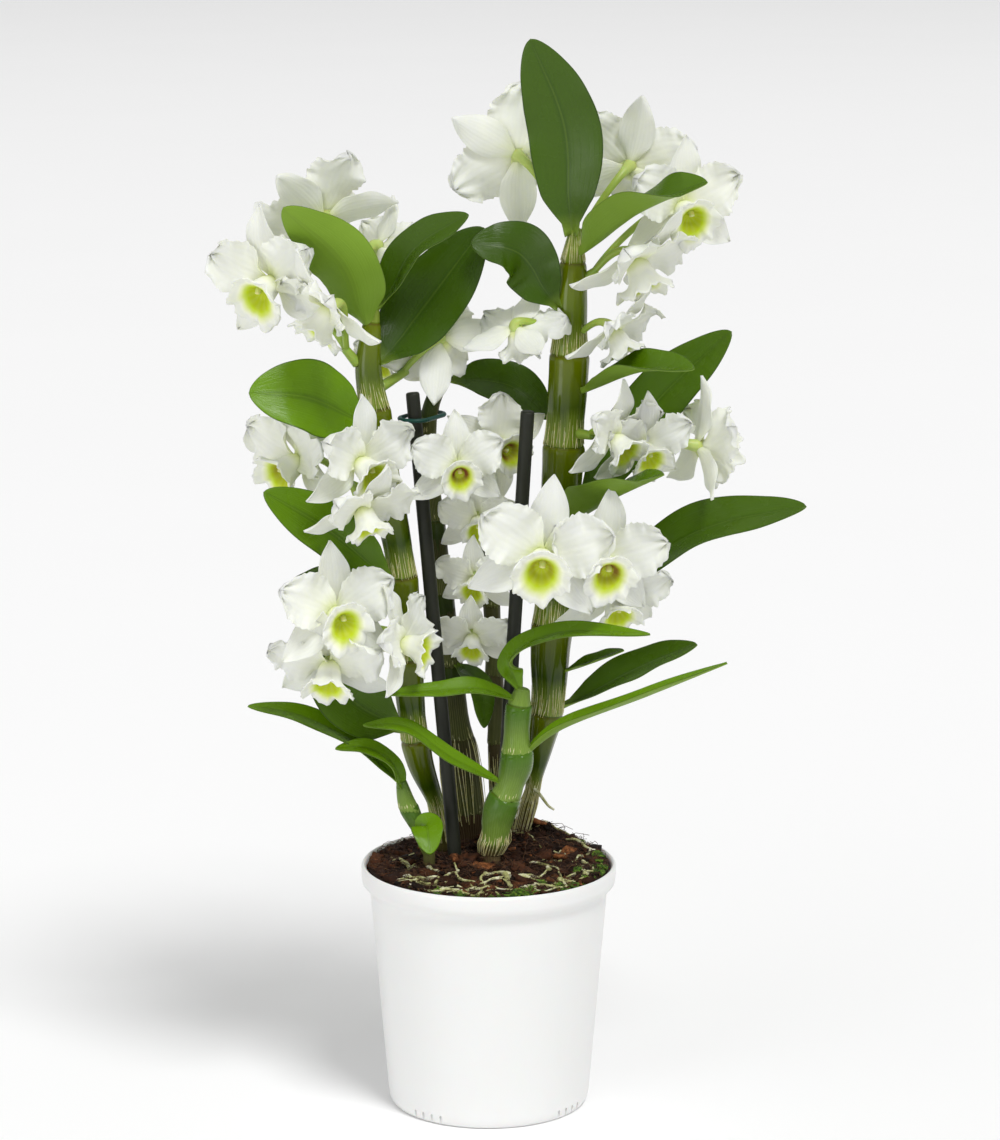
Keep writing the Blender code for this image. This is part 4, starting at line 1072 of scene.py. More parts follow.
def strands_tree():
    """Turns guide lines into round strands as thick as painted on their points."""
    tree, given, output = new_tree("strands", [("Sides", "Int", 6), ("Material", "Material", None)])
    curve = add_node(tree, "GeometryNodeMeshToCurve", {"Mesh": given.outputs["Geometry"]})
    thickness = add_node(tree, "GeometryNodeInputNamedAttribute", {"Name": "thickness"}, data_type="FLOAT")
    swept = tube_of(tree, curve.outputs[0], given.outputs["Sides"], 1.0, thickness.outputs["Attribute"])
    finish_tree(tree, swept, given, output)
    return tree


def chips_tree():
    """Scatters rough chips over a surface, each turned, sized and toned at random."""
    tree, given, output = new_tree("chips", [
        ("Density", "Float", 1000.0), ("Seed", "Int", 0), ("Length", "Float", 0.004),
        ("Roughness", "Float", 0.0006), ("Material", "Material", None)])
    block = add_node(tree, "GeometryNodeMeshCube", {
        "Size": (1.0, 0.55, 0.30), "Vertices X": 3, "Vertices Y": 3, "Vertices Z": 2})
    placed = scattered(tree, given, block.outputs["Mesh"], 0.5, 0.35, 1.3)
    tone = add_node(tree, "FunctionNodeRandomValue", {2: 0.05, 3: 0.95, "Seed": 7}, data_type="FLOAT")
    toned = add_node(tree, "GeometryNodeStoreNamedAttribute", {
        "Geometry": placed, "Name": "tone", "Value": tone.outputs[1]},
        data_type="FLOAT", domain="INSTANCE")
    amount = math(tree, "MULTIPLY", given.outputs["Roughness"], 4.0)
    finish_tree(tree, shaken(tree, toned.outputs[0], 420.0, amount), given, output)
    return tree


def fibres_tree():
    """Scatters curled fibres over a surface and holds them within a reach of the middle."""
    tree, given, output = new_tree("fibres", [
        ("Density", "Float", 1000.0), ("Seed", "Int", 0), ("Length", "Float", 0.010),
        ("Thickness", "Float", 0.00012), ("Reach", "Float", 0.056), ("Material", "Material", None)])
    arc = add_node(tree, "GeometryNodeCurveQuadraticBezier", {
        "Resolution": 6, "Start": (-0.5, 0.0, -0.06), "Middle": (0.05, 0.35, 0.30),
        "End": (0.5, -0.1, -0.04)})
    curled = shaken(tree, scattered(tree, given, arc.outputs[0], 0.6, 0.3, 1.4), 190.0, 0.006)
    place = add_node(tree, "GeometryNodeInputPosition").outputs[0]
    flat = add_node(tree, "ShaderNodeVectorMath", {0: place, 1: (1.0, 1.0, 0.0)}, operation="MULTIPLY")
    reach = add_node(tree, "ShaderNodeVectorMath", {0: flat.outputs[0]}, operation="LENGTH")
    share = math(tree, "DIVIDE", given.outputs["Reach"], reach.outputs["Value"])
    share = math(tree, "MINIMUM", share, 1.0)
    shrink = add_node(tree, "ShaderNodeCombineXYZ", {"X": share, "Y": share, "Z": 1.0})
    inside = add_node(tree, "ShaderNodeVectorMath", {0: place, 1: shrink.outputs[0]}, operation="MULTIPLY")
    held = add_node(tree, "GeometryNodeSetPosition", {"Geometry": curled, "Position": inside.outputs[0]})
    swept = tube_of(tree, held.outputs[0], FIBRE_SIDES, given.outputs["Thickness"])
    finish_tree(tree, swept, given, output)
    return tree


def plain_copy(base):
    """The finished mesh of an object with modifiers, which is then removed."""
    graph = bpy.context.evaluated_depsgraph_get()
    mesh = bpy.data.meshes.new_from_object(base.evaluated_get(graph))
    bpy.data.objects.remove(base, do_unlink=True)
    return mesh


def grown(base, tree, name, **values):
    """The plain mesh that a tree makes from a base object, which is then removed."""
    modifier = base.modifiers.new(name, "NODES")
    modifier.node_group = tree
    for item in tree.interface.items_tree:
        if item.in_out == "INPUT" and item.name in values:
            modifier[item.identifier] = values[item.name]
    mesh = plain_copy(base)
    mesh.name = name
    return linked(name, mesh)


def strands(name, lines, material, sides=6):
    """Round strands along lines, each a list of points and a list of radii in millimetres."""
    points, edges, sizes = [], [], []
    for places, radii in lines:
        start = len(points)
        points += [tuple(np.asarray(p, float) * MM) for p in places]
        sizes += [float(r) * MM for r in radii]
        edges += [(start + i, start + i + 1) for i in range(len(places) - 1)]
    mesh = bpy.data.meshes.new(name + "_lines")
    mesh.from_pydata(points, edges, [])
    mesh.attributes.new("thickness", "FLOAT", "POINT").data.foreach_set("value", sizes)
    tree = bpy.data.node_groups.get("strands") or strands_tree()
    return grown(linked(name + "_lines", mesh), tree, name, Sides=sides, Material=material)


def merged(name, pieces):
    """Several mesh objects as one, each face keeping its material."""
    for other in bpy.context.selected_objects:
        other.select_set(False)
    for piece in pieces:
        piece.select_set(True)
    bpy.context.view_layer.objects.active = pieces[0]
    bpy.ops.object.join()
    pieces[0].name = name
    pieces[0].data.name = name
    return pieces[0]


def soil_height(x, y):
    """The bark's surface: a mound, heaped at the rear, with lumps that die out at the pot's wall."""
    share = min(1.0, hypot(x, y) / (POT_RIM_RADIUS - RIM_WALL))
    lumps = noise.noise(Vector((x, y, 7.0)) / SOIL_LUMP_SIZE)
    lumps += 0.5 * noise.noise(Vector((x, y, 3.0)) / SOIL_GRIT_SIZE)
    across, back = (x - HEAP_PLACE[0]) / HEAP_REACH[0], (y - HEAP_PLACE[1]) / HEAP_REACH[1]
    heap = SOIL_HEAP * exp(-across ** 2 - back ** 2)
    mound = SOIL_MOUND * (1 - share ** 2) + heap * (1 - share ** 8)
    return SOIL_EDGE_HEIGHT + mound + 2 * SOIL_LUMP * lumps * (1 - share ** 6)


def soil_grit(x, y):
    """Fine lumps on the bark's surface."""
    coarse, fine = noise.noise(Vector((x, y, 1.0)) / 2.2), noise.noise(Vector((x, y, 9.0)) / 0.9)
    return 0.9 * (coarse + 0.6 * fine)


class ORCHID_OT_pot(bpy.types.Operator):
    """Turns the white pot with its rolled rim and the slots round its foot"""

    bl_idname = "orchid.pot"
    bl_label = "Make pot"

    def execute(self, context):
        inner_foot = POT_FOOT_RADIUS - POT_WALL
        neck = POT_HEIGHT - RIM_BAND
        profile = [
            (0, 2.5), (inner_foot - 1.5, 2.5), (inner_foot, 4.0),
            (POT_NECK_RADIUS - POT_WALL, neck - 1.0), (POT_RIM_RADIUS - RIM_WALL - 0.4, neck + 1.5),
            (POT_RIM_RADIUS - RIM_WALL, POT_HEIGHT - 2.5), (POT_RIM_RADIUS - 2.2, POT_HEIGHT - 1.2),
            (POT_RIM_RADIUS - 1.75, POT_HEIGHT - 0.35), (POT_RIM_RADIUS - 1.1, POT_HEIGHT),
            (POT_RIM_RADIUS - 0.45, POT_HEIGHT - 0.35), (POT_RIM_RADIUS - 0.08, POT_HEIGHT - 1.1),
            (POT_RIM_RADIUS, POT_HEIGHT - 2.2), (POT_RIM_RADIUS - 0.15, POT_HEIGHT - 6.0),
            (POT_RIM_RADIUS - 0.55, POT_HEIGHT - 8.6), (POT_NECK_RADIUS + 2.3, neck + 0.7),
            (POT_NECK_RADIUS + 0.8, neck - 1.0), (POT_NECK_RADIUS + 0.1, neck - 2.6),
            (POT_NECK_RADIUS - 0.15, neck - 4.5),
            (POT_FOOT_RADIUS + 0.4, 6.0), (POT_FOOT_RADIUS + 0.1, 3.6), (POT_FOOT_RADIUS - 0.5, 1.6),
            (POT_FOOT_RADIUS - 1.4, 0.4), (POT_FOOT_RADIUS - 2.4, 0.0), (0, 0)]
        mesh = bpy.data.meshes.new("pot_profile")
        mesh.from_pydata([(r * MM, 0, z * MM) for r, z in profile],
                         [(i, i + 1) for i in range(len(profile) - 1)], [])
        pot = linked("pot_profile", mesh)
        spin = pot.modifiers.new("spin", "SCREW")
        spin.steps = spin.render_steps = 144
        spin.use_merge_vertices = True
        spin.merge_threshold = 0.00001
        cutters = bpy.data.collections.new("slot_cutters")
        context.scene.collection.children.link(cutters)
        for group in range(SLOT_GROUPS):
            for step in range(SLOTS_IN_GROUP):
                angle = radians(FIRST_SLOT_DEG + group * 360 / SLOT_GROUPS + step * SLOT_PITCH_DEG)
                self.cutter(cutters, angle)
        cut = pot.modifiers.new("cut", "BOOLEAN")
        cut.operation = "DIFFERENCE"
        cut.operand_type = "COLLECTION"
        cut.collection = cutters
        cut.solver = "EXACT"
        made = plain_copy(pot)
        for cutter in list(cutters.objects):
            bpy.data.objects.remove(cutter, do_unlink=True)
        bpy.data.collections.remove(cutters)
        made.materials.clear()
        made.materials.append(pot_material())
        made.shade_smooth()
        made.set_sharp_from_angle(angle=radians(40))
        place_piece(linked("pot_body", made), "pot_plastic", "pot")
        return {"FINISHED"}

    def cutter(self, collection, angle):
        """A rounded slot across the pot's foot."""
        half = SLOT_WIDTH / 2
        round_top = [(half * cos(t * pi / 6), SLOT_TOP - half + half * sin(t * pi / 6)) for t in range(7)]
        outline = [(-half, -1.0), (half, -1.0), *round_top]
        reach = (POT_FOOT_RADIUS - 1.0, POT_FOOT_RADIUS + 3.0)
        points = [(x * MM, y * MM, z * MM) for x in reach for y, z in outline]
        n = len(outline)
        faces = [list(range(n))[::-1], list(range(n, 2 * n))]
        faces += [(i, (i + 1) % n, n + (i + 1) % n, n + i) for i in range(n)]
        mesh = bpy.data.meshes.new("slot_cutter")
        mesh.from_pydata(points, [], faces)
        mesh.transform(Matrix.Rotation(angle, 4, "Z"))
        collection.objects.link(bpy.data.objects.new("slot_cutter", mesh))


class ORCHID_OT_bark(bpy.types.Operator):
    """Fills the pot with bark mix and scatters chips, fibres and roots on it"""

    bl_idname = "orchid.bark"
    bl_label = "Make bark mix"

    def execute(self, context):
        settings = context.scene.orchid_bark
        bark = bark_material()
        edge = POT_RIM_RADIUS - RIM_WALL - 0.7
        angle = turns(120)
        inner_foot, neck = POT_FOOT_RADIUS - POT_WALL - 0.35, POT_NECK_RADIUS - POT_WALL - 0.35
        radii = [inner_foot * 0.5, inner_foot, neck, edge] + list(np.linspace(edge, 0.4, 56)[1:])
        heights = [SOIL_FOOT_HEIGHT, SOIL_FOOT_HEIGHT, POT_HEIGHT - RIM_BAND]
        points = np.zeros((len(radii), len(angle), 3))
        for row, radius in enumerate(radii):
            for column, turn in enumerate(angle):
                x, y = radius * cos(turn), radius * sin(turn)
                z = heights[row] if row < 3 else soil_height(x, y)
                if row > 2:
                    z += SOIL_RIM_RISE * min(1.0, radius / edge) ** 6
                if row > 4:
                    z += soil_grit(x, y) * min(1.0, (edge - radius) / 3.0)
                points[row, column] = (x, y, z)
        draft = Draft()
        draft.rings(points, (angle / (2 * pi))[None, :], np.linspace(0, 1, len(radii))[:, None], 0,
                    seam=True, tone=0.32)
        body = draft.build("bark_body", [bark])
        surface = Draft()
        surface.rings(points[5:-1], 0.0, 0.0)
        chips = []
        tree = chips_tree()
        for i, (share, length) in enumerate(CHIP_SIZES):
            base = surface.build(f"bark_spots_{i}", [])
            chips.append(grown(base, tree, f"chips_{i}", Density=settings.chips * 1e4 * share,
                               Seed=settings.seed + i, Length=length * MM, Roughness=0.16 * length * MM,
                               Material=bark))
        flakes = Draft()
        for i, row in enumerate(BARK_FLAKES):
            self.add_flake(flakes, row, i)
        chips.append(flakes.build("flakes", [bark]))
        place_piece(merged("bark_mix_body", [body, *chips]), "bark_mix", "bark_mix")
        coir = strand_material("coir", ("#20110a", "#402516", "#74522f"), 400.0, 0.8)
        loose = []
        tree = fibres_tree()
        for i, (share, length, thick) in enumerate(FIBRE_SIZES):
            base = surface.build(f"fibre_spots_{i}", [])
            loose.append(grown(base, tree, f"fibres_{i}", Density=settings.fibres * 1e4 * share,
                               Seed=settings.seed + 5 + i, Length=length * MM, Thickness=thick * MM,
                               Reach=(edge - 0.6) * MM, Material=coir))
        roots = strand_material("root_skin", ("#6f6c34", "#b3b377", "#e6e3cc"), 200.0, 0.6)
        loose.append(strands("roots", self.root_lines(), roots, 8))
        place_piece(merged("bark_mix_loose", loose), "bark_mix", "bark_mix")
        moss = strand_material("moss", ("#22380d", "#4c7119", "#8fae35"), 500.0, 0.8)
        base = self.moss_patches().build("moss_spots", [])
        tufts = grown(base, tree, "bark_mix_moss", Density=MOSS_DENSITY, Seed=settings.seed,
                      Length=MOSS_LENGTH * MM, Thickness=MOSS_THICKNESS * MM,
                      Reach=(edge - 0.4) * MM, Material=moss)
        place_piece(tufts, "bark_mix", "bark_mix")
        return {"FINISHED"}

    def moss_patches(self):
        """Small flat patches on the mix, which the moss grows on."""
        draft = Draft()
        angle = turns(12)
        for turn_deg, radius, size in MOSS:
            x, y = radius * cos(radians(turn_deg)), radius * sin(radians(turn_deg))
            rows = np.stack([(x, y, 0) + around(angle, size * share) for share in (1.0, 0.55, 0.1)])
            for row, rise in zip(rows, (1.6, 1.825, 2.05)):
                row[:, 2] = [soil_height(*point) + rise for point in row[:, :2]]
            draft.rings(rows, 0.0, 0.0)
        return draft

    def add_flake(self, draft, row, seed):
        """A split flake of bark lying on the mix, tilted."""
        x, y, length, turn, tilt = row
        rng = np.random.default_rng(40 + seed)
        across = np.sin(np.linspace(-pi / 2, pi / 2, 9))
        along = np.linspace(0, 1, 12)
        half = 0.28 * length * (0.8 + 0.4 * np.sin(pi * along) + 0.12 * rng.standard_normal(12))
        surface = np.zeros((12, 9, 3))
        surface[..., 0] = (along[:, None] - 0.5) * length
        surface[..., 1] = half[:, None] * across[None, :]
        curl = 0.02 * length * np.cos(3 * across)[None, :]
        surface[..., 2] = 0.2 * rng.standard_normal((12, 9)) + curl
        lean = Matrix.Translation((x, y, soil_height(x, y) + 0.6)) @ Matrix.Rotation(
            radians(turn), 4, "Z") @ Matrix.Rotation(radians(tilt), 4, "Y")
        add_blade(draft, moved(surface, lean), across, along, 2.4, 0, tone=0.75 + 0.25 * rng.random())

    def root_lines(self):
        """The roots of the solid, and thinner ones that wander over the mix."""
        rng = np.random.default_rng(12)
        lines = []
        along = np.linspace(0, 1, 40)
        for route in SURFACE_ROOTS:
            flat = smooth_route(route, along)
            flat = flat + 0.5 * np.sin(14 * along)[:, None] * rng.uniform(-1, 1, 2)
            places = [(x, y, soil_height(x, y) + 0.9) for x, y in flat]
            lines.append((places, 1.25 + 0.22 * np.sin(22 * along) - 0.5 * along ** 3))
        for i in range(EVEN_ROOTS + FRONT_ROOTS):
            even = i < EVEN_ROOTS
            turn = rng.uniform(0, 2 * pi) if even else rng.uniform(-2.6, -0.4)
            radius = 53 * rng.uniform(0.35 if even else 0.75, 1.0) ** 0.5
            x, y = radius * cos(turn), radius * sin(turn)
            heading = turn + pi / 2 * rng.choice((-1, 1)) + rng.normal(0, 0.5)
            places = []
            for _ in range(rng.integers(8, 24)):
                heading += rng.normal(0, 0.24)
                x, y = x + ROOT_STEP * cos(heading), y + ROOT_STEP * sin(heading)
                if hypot(x, y) > ROOT_REACH:
                    break
                rise = 0.8 + SOIL_RIM_RISE * (hypot(x, y) / 57) ** 6
                places.append((x, y, soil_height(x, y) + rise))
            if len(places) > 4:
                size = rng.uniform(0.35, 1.0) * np.linspace(1.0, 0.6, len(places))
                lines.append((places, size))
        aerial = smooth_route(AERIAL_ROOT, np.linspace(0, 1, 16))
        lines.append((aerial, np.linspace(0.9, 0.5, 16)))
        return lines


class ORCHID_OT_stakes(bpy.types.Operator):
    """Makes the two stakes and the clip that ties the rear cane to one"""

    bl_idname = "orchid.stakes"
    bl_label = "Make stakes and clip"

    def execute(self, context):
        plastic = plastic_material("stake_dark", "#14160f", "#33352a", 0.40)
        for name, (foot, top) in STAKES.items():
            foot, top = np.array(foot, float), np.array(top, float)
            shares = np.concatenate([[0, 0.002], np.linspace(0.004, 0.996, 60), [0.9985, 1.0]])
            radii = np.full(len(shares), STAKE_RADIUS)
            radii[[0, -1]] = STAKE_RADIUS - 0.5
            radii[[1, -2]] = STAKE_RADIUS - 0.12
            draft = Draft()
            add_tube(draft, foot + (top - foot) * shares[:, None], radii, 40)
            piece = draft.build(name + "_bar", [plastic])
            piece.data.set_sharp_from_angle(angle=radians(50))
            place_piece(piece, "stake_plastic", name)
        self.make_clip()
        return {"FINISHED"}

    def make_clip(self):
        """An oval of wire round the cane and the stake, with its two prongs."""
        foot, top = (np.array(end, float) for end in STAKES["stake_left"])
        stake = foot + (top - foot) * (CLIP_HEIGHT - foot[2]) / (top[2] - foot[2])
        cane, radius = all_stems()["cane_rear"].at(CLIP_HEIGHT)
        out = max(radius * 1.1, STAKE_RADIUS) + CLIP_WIRE + 5 * 0.35
        heading = atan2(cane[1] - stake[1], cane[0] - stake[0])
        places = []
        for centre, start in ((cane, -90), (stake, 90)):
            angle = heading + radians(start) + np.linspace(0, pi, 17)
            places.extend((centre[0], centre[1], CLIP_HEIGHT) + around(angle, out))
        loop = np.array(places + places[:2])
        draft = Draft()
        add_tube(draft, smooth_route(loop, np.linspace(0, 1, 160)), np.full(160, CLIP_WIRE), 14)
        for shift, drop in ((0.0, 1.6), (2.4, 2.4)):
            start = stake + np.array([-out - 0.4, -2.0, -drop])
            prong = [start, start + (2.5, -0.9, -0.1), start + (5.5, -1.6, -0.5 - 0.2 * shift)]
            add_tube(draft, smooth_route(prong, np.linspace(0, 1, 14)), np.linspace(0.7, 0.95, 14), 10)
        piece = draft.build("clip_ring", [plastic_material("clip_green", "#0d3a33", "#1f5348", 0.3)])
        place_piece(piece, "clip_plastic", "stake_clip")


def add_stem(draft, name, stem, sides=48):
    """A cane's body with joints, then the painted values its finish needs."""
    heights = np.concatenate([[STEM_FOOT_HEIGHT, stem.foot - 1], np.arange(stem.foot, stem.top - 0.6, 0.8),
                              stem.top - np.array([0.5, 0.2, 0.05])])
    centres, _ = stem.at(heights)
    centres[:, 2] = heights
    radii = stem.radius(heights)
    radii[-3:] = radii[-3:] * np.array([0.9, 0.7, 0.35])
    angle = turns(sides)
    flutes = 0.012 * np.sin(9 * angle + 1.0) + 0.008 * np.sin(14 * angle)
    radii = radii[:, None] * (1 + flutes[None, :])
    joint = stem.joint_share(heights)[:, None] + 0 * angle
    driest, fade, least = DRYNESS.get(name, (0.6, 16.0, 0.0))
    dry = np.clip(driest - (heights - stem.foot) / fade, least, 1)[:, None] + 0 * angle
    add_tube(draft, centres, radii, sides, 0, along=((heights - stem.foot) / stem.pitch)[:, None],
             joint=joint, dry=dry)


def add_sheaths(draft, stem, low, high, teeth, depth, rng, finish=0, dry=0.0):
    """Thin sleeves over the stem's joints, toothed at the foot where they stand off a little.

    low and high are shares of a segment above its joint; depth is the length of the teeth.
    """
    angle = turns(6 * teeth)
    rise = np.array([0.0, 0.0, 0.03, 0.10, 0.25, 0.5, 0.75, 0.93, 1.0, 1.0])
    lift = np.array([-0.9, 0.55, 0.65, 0.50, 0.30, 0.20, 0.12, 0.05, 0.0, -0.9])
    joint = stem.first_joint
    while joint < stem.top - 0.5 * stem.pitch:
        if joint > stem.foot + 2:
            point = np.abs(np.sin(angle * teeth / 2 + rng.uniform(0, pi))) ** 0.8
            point = point * (0.75 + 0.25 * np.sin(3 * angle + rng.uniform(0, 6)))
            foot = joint + low * stem.pitch - depth * point
            top = min(joint + high * stem.pitch, stem.top - 2.0)
            top = top + 0.07 * stem.pitch * np.cos(angle - rng.uniform(0, 2 * pi))
            heights = foot[None, :] + rise[:, None] * (top - foot)[None, :]
            centres, _ = stem.at(heights)
            radii = stem.radius(np.maximum(heights, joint + 0.012 * stem.pitch)) + lift[:, None]
            share = np.clip((heights - joint) / stem.pitch, 0.03, min(0.9, high))
            draft.rings(centres + around(angle, radii), (angle / (2 * pi))[None, :],
                        (heights - stem.foot) / stem.pitch, finish, seam=True, joint=share, dry=dry)
        joint += stem.pitch


def vein_lines(stem, count, rng, reach=0.32):
    """Dry veins that fan down each sheath's foot and fray over the joint, as strand lines."""
    lines = []
    height = stem.first_joint
    while height < stem.top - 9:
        if height > stem.foot + 4:
            for i in range(count):
                turn = (i + rng.uniform(-0.4, 0.4)) / count * 2 * pi
                low = height - rng.uniform(-0.6, 0.9)
                high = height + stem.pitch * reach * rng.uniform(0.5, 1.1)
                down = np.linspace(1, 0, 12)
                heights = low + (high - low) * (1 - down)
                centres, _ = stem.at(heights)
                flare = 0.05 + rng.uniform(0.25, 0.7) * np.clip((down - 0.5) / 0.5, 0, 1) ** 2
                radii = stem.radius(np.maximum(heights, height + 0.03 * stem.pitch)) + flare
                lean = turn + rng.uniform(-0.16, 0.16) * down ** 2
                places = centres + around(lean, radii)
                size = rng.uniform(0.16, 0.26) * np.interp(down, (0, 0.3, 0.8, 1), (0.3, 0.8, 1.0, 0.4))
                lines.append((places, size * min(1.0, stem.at(height)[1] / 8) ** 0.6))
        height += stem.pitch
    return lines


def foot_fibres(name, stem, rng):
    """Pale fibres that stand off a stem's foot and lean as they go down."""
    low, high, count, spread = FOOT_FIBRES.get(name, (0.0, 0.0, 0, 0.0))
    lines = []
    for i in range(count):
        turn = (i + rng.uniform(-0.4, 0.4)) / count * 2 * pi
        down = np.linspace(1, 0, 14)
        heights = low + rng.uniform(0, 3) + (high - low) * (1 - down) * rng.uniform(0.7, 1.0)
        centres, _ = stem.at(heights)
        radii = stem.radius(heights) + 0.15 + rng.uniform(0.2, 1.0) * spread * np.sin(0.8 * pi * down)
        lean = turn + rng.uniform(-0.3, 0.3) * down
        size = rng.uniform(0.16, 0.28) * np.interp(down, (0, 0.2, 1), (0.4, 1.0, 0.6))
        lines.append((centres + around(lean, radii), size))
    return lines


def finish_stem(draft, name, stem, skins, veins, straw, slot, rng):
    """Builds a stem with its dry veins and foot fibres, and puts it in its place."""
    body = draft.build(name + "_skin", skins)
    lines = veins + foot_fibres(name, stem, rng)
    piece = merged(name + "_body", [body, strands(name + "_veins", lines, straw, 5)])
    place_piece(piece, slot, name)


class ORCHID_OT_canes(bpy.types.Operator):
    """Makes the four canes with their joints, sheaths and dry veins"""

    bl_idname = "orchid.canes"
    bl_label = "Make canes"

    def execute(self, context):
        settings = context.scene.orchid_cane
        stems = all_stems()
        fresh = cane_material("cane_skin", settings, rgba(settings.green), "#6c7804", "#7e961e",
                              "#5c4a2c", 0.42)
        old = cane_material("old_cane_skin", settings, srgb("#33441a"), "#3d4a1c", "#4c5a2e",
                            "#53422a", 0.8, 0.05, 0.18)
        straw = strand_material("dry_vein", ("#b5ad62", "#d3ce92", "#ece8c4"), 500.0, 0.6)
        for name in CANES:
            stem = stems[name]
            draft = Draft()
            rng = np.random.default_rng(sum(map(ord, name)))
            add_stem(draft, name, stem)
            skin, slot = (old, "old_cane") if name in OLD_CANES else (fresh, "cane")
            if name in OLD_CANES:
                add_sheaths(draft, stem, 0.0, 0.7, 16, 1.6, rng, dry=0.4)
            veins = vein_lines(stem, settings.veins, rng)
            finish_stem(draft, name, stem, [skin], veins, straw, slot, rng)
        return {"FINISHED"}


class ORCHID_OT_shoots(bpy.types.Operator):
    """Makes the two young shoots with their narrow leaves"""

    bl_idname = "orchid.shoots"
    bl_label = "Make young shoots"

    def execute(self, context):
        settings = context.scene.orchid_cane
        stems = all_stems()
        skin = cane_material("shoot_skin", settings, srgb("#6c9424"), "#4f7614", "#7f9d42",
                             "#7d6c46", 0.9, 0.2, 0.08)
        leaf = bpy.data.materials.get("leaf_blade") or leaf_material(context.scene.orchid_leaf)
        straw = bpy.data.materials["dry_vein"]
        for name, rows in SHOOT_LEAVES.items():
            stem = stems[name]
            rng = np.random.default_rng(len(name))
            draft = Draft()
            add_stem(draft, name, stem, 40)
            add_sheaths(draft, stem, -0.05, 0.9, 17, 1.5, rng)
            for height, *route, face, width, fold in rows:
                tone = YOUNG_TONE + rng.uniform(-0.12, 0.12)
                add_leaf(draft, [stem.at(height)[0], *route], face, width, fold, tone, 1.0, rng, 1)
            veins = vein_lines(stem, 30, rng, 0.45)
            finish_stem(draft, name, stem, [skin, leaf], veins, straw, "young_shoot", rng)
        return {"FINISHED"}


class ORCHID_OT_leaves(bpy.types.Operator):
    """Makes the leaves of the canes"""

    bl_idname = "orchid.leaves"
    bl_label = "Make leaves"

    def execute(self, context):
        stems = all_stems()
        leaf = bpy.data.materials.get("leaf_blade") or leaf_material(context.scene.orchid_leaf)
        for i, (name, row) in enumerate(LEAVES.items()):
            stem, height, middle, tip, face, width, fold, tone = row
            rng = np.random.default_rng(100 + i)
            middle = np.array(middle, float)
            root = stems[stem].surface_point(height, middle, 1.2)
            inner = stems[stem].surface_point(height, middle, -1.5)
            route = smooth_route([root, middle, np.array(tip, float)], np.linspace(0, 1, 7))
            knots = np.concatenate([[inner + (0, 0, -1.0)], route[1:]])
            draft = Draft()
            add_leaf(draft, knots, face, width, fold, tone, 0.9, rng, 0, TIP_TURN_DEG.get(name, 0.0))
            place_piece(draft.build(name + "_blade", [leaf]), "leaf", name)
        return {"FINISHED"}


class ORCHID_OT_blooms(bpy.types.Operator):
    """Makes the blooms of each spray with their stalks"""

    bl_idname = "orchid.blooms"
    bl_label = "Make blooms"

    def execute(self, context):
        settings = context.scene.orchid_bloom
        stems = all_stems()
        materials = [petal_material(settings), stalk_material(), column_material()]
        for i, (name, (cane, height, fork, blooms)) in enumerate(SPRAYS.items()):
            rng = np.random.default_rng(200 + i)
            towards = np.array(fork or blooms[0][0], float)
            root = stems[cane].surface_point(height, towards, -1.2)
            draft = Draft()
            if fork:
                shares = np.linspace(0, 1, 10)
                add_tube(draft, root + (towards - root) * shares[:, None], FORK_RADIUS + 0.3 - 0.5 * shares,
                         16, 1, tone=np.full(10, 0.1))
                root = towards + (root - towards) / np.linalg.norm(root - towards) * FORK_RADIUS
            for row in blooms:
                add_bloom(draft, root, row, settings, rng)
            piece = draft.build(name + "_flowers", materials)
            place_piece(piece, "petal", name)
        return {"FINISHED"}


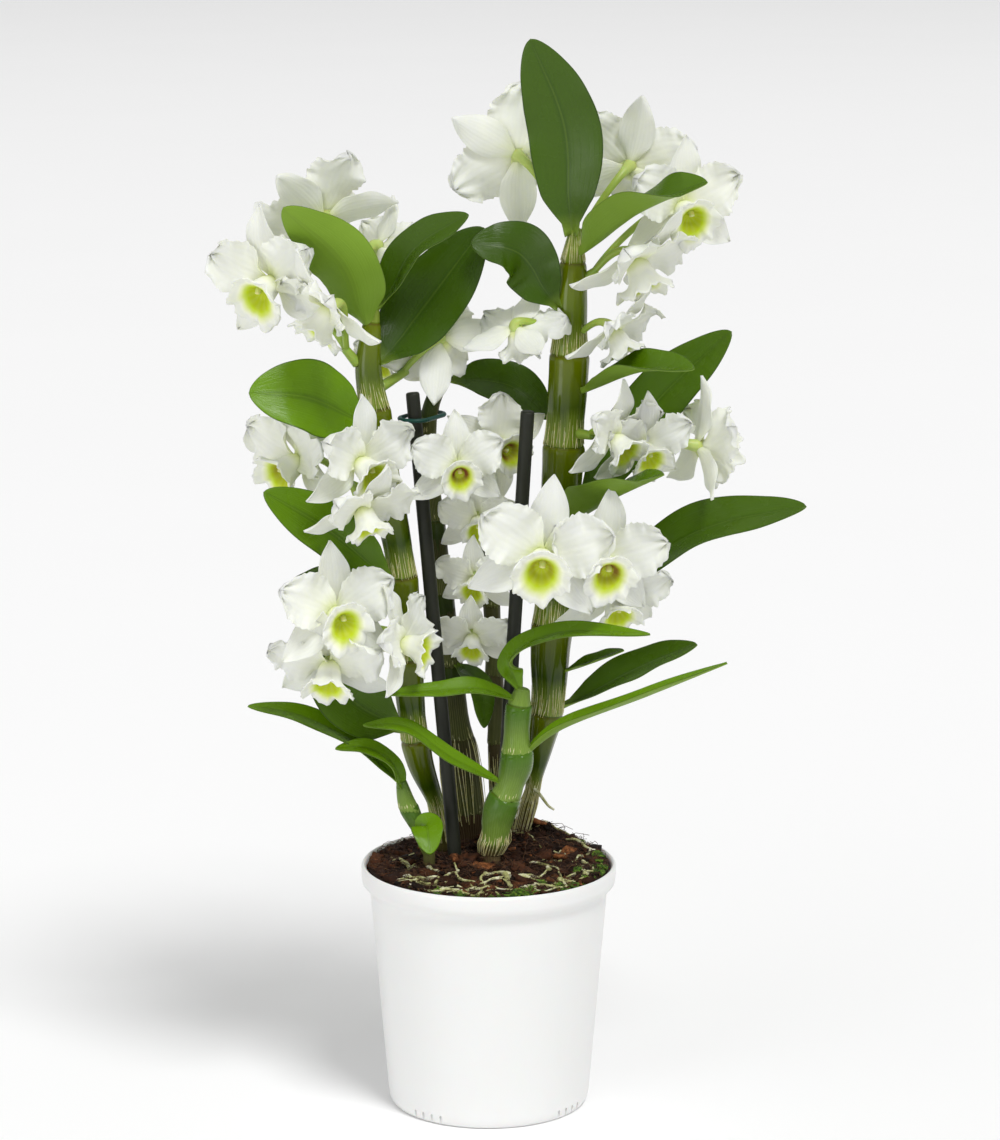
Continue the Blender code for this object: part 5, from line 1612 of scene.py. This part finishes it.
class ORCHID_OT_stage(bpy.types.Operator):
    """Sets the pale floor, the soft light and the camera"""

    bl_idname = "orchid.stage"
    bl_label = "Set stage"

    def execute(self, context):
        settings = context.scene.orchid_stage
        draft = Draft()
        angle = turns(96)
        points = np.stack([around(angle, radius) + (0, 0, height) for radius, height in FLOOR_EDGE])
        draft.rings(points, (angle / (2 * pi))[None, :], 0.0, seam=True)
        material, tree, shader = new_material("floor_paper", Roughness=0.9, IOR=1.0)
        grain = noise_at(tree, object_place(tree), 3.0, 3.0)
        base = rgba(settings.floor)
        colour = mix(tree, grain, base, tuple(c * 0.985 for c in settings.floor) + (1.0,))
        tree.links.new(colour, shader.inputs["Base Color"])
        draft.build("floor", [material])
        world = bpy.data.worlds.new("studio")
        world.use_nodes = True
        background = world.node_tree.nodes["Background"]
        background.inputs["Color"].default_value = (1.0, 1.0, 1.0, 1.0)
        background.inputs["Strength"].default_value = settings.sky
        context.scene.world = world
        context.scene.view_settings.view_transform = "Standard"
        for name, kind, place, target, strength, shape in LIGHTS:
            light = bpy.data.lights.new(name, kind)
            light.energy = strength
            setattr(light, *shape)
            made = linked(name, light)
            made.location = place
            look = Vector((0.0, 0.0, target)) - Vector(place)
            made.rotation_euler = look.to_track_quat("-Z", "Y").to_euler()
        lens = bpy.data.cameras.new("camera")
        lens.sensor_fit = "AUTO"
        lens.sensor_width = SENSOR
        lens.lens = CAMERA_LENS
        lens.clip_start, lens.clip_end = 0.05, 60.0
        camera = linked("camera", lens)
        camera.location = CAMERA_PLACE
        camera.rotation_euler = (radians(CAMERA_PITCH_DEG), 0.0, 0.0)
        context.scene.camera = camera
        return {"FINISHED"}


OPERATORS = (ORCHID_OT_stage, ORCHID_OT_pot, ORCHID_OT_bark, ORCHID_OT_stakes, ORCHID_OT_canes,
             ORCHID_OT_shoots, ORCHID_OT_leaves, ORCHID_OT_blooms)


class ORCHID_PT_panel(bpy.types.Panel):
    """Lists the orchid's settings and the steps that build it"""

    bl_label = "Dendrobium orchid"
    bl_idname = "ORCHID_PT_panel"
    bl_space_type = "VIEW_3D"
    bl_region_type = "UI"
    bl_category = "Orchid"

    def draw(self, context):
        for name, group in SETTINGS.items():
            box = self.layout.box()
            for key in group.__annotations__:
                box.prop(getattr(context.scene, name), key)
        for operator in OPERATORS:
            self.layout.operator(operator.bl_idname)


def register():
    for name, group in SETTINGS.items():
        bpy.utils.register_class(group)
        setattr(bpy.types.Scene, name, bpy.props.PointerProperty(type=group))
    for operator in OPERATORS:
        bpy.utils.register_class(operator)
    bpy.utils.register_class(ORCHID_PT_panel)


def unregister():
    bpy.utils.unregister_class(ORCHID_PT_panel)
    for operator in reversed(OPERATORS):
        bpy.utils.unregister_class(operator)
    for name, group in SETTINGS.items():
        delattr(bpy.types.Scene, name)
        bpy.utils.unregister_class(group)


def main():
    register()
    bpy.ops.orchid.stage()
    bpy.ops.orchid.pot()
    bpy.ops.orchid.bark()
    bpy.ops.orchid.stakes()
    bpy.ops.orchid.canes()
    bpy.ops.orchid.shoots()
    bpy.ops.orchid.leaves()
    bpy.ops.orchid.blooms()


if __name__ == "__main__":
    main()
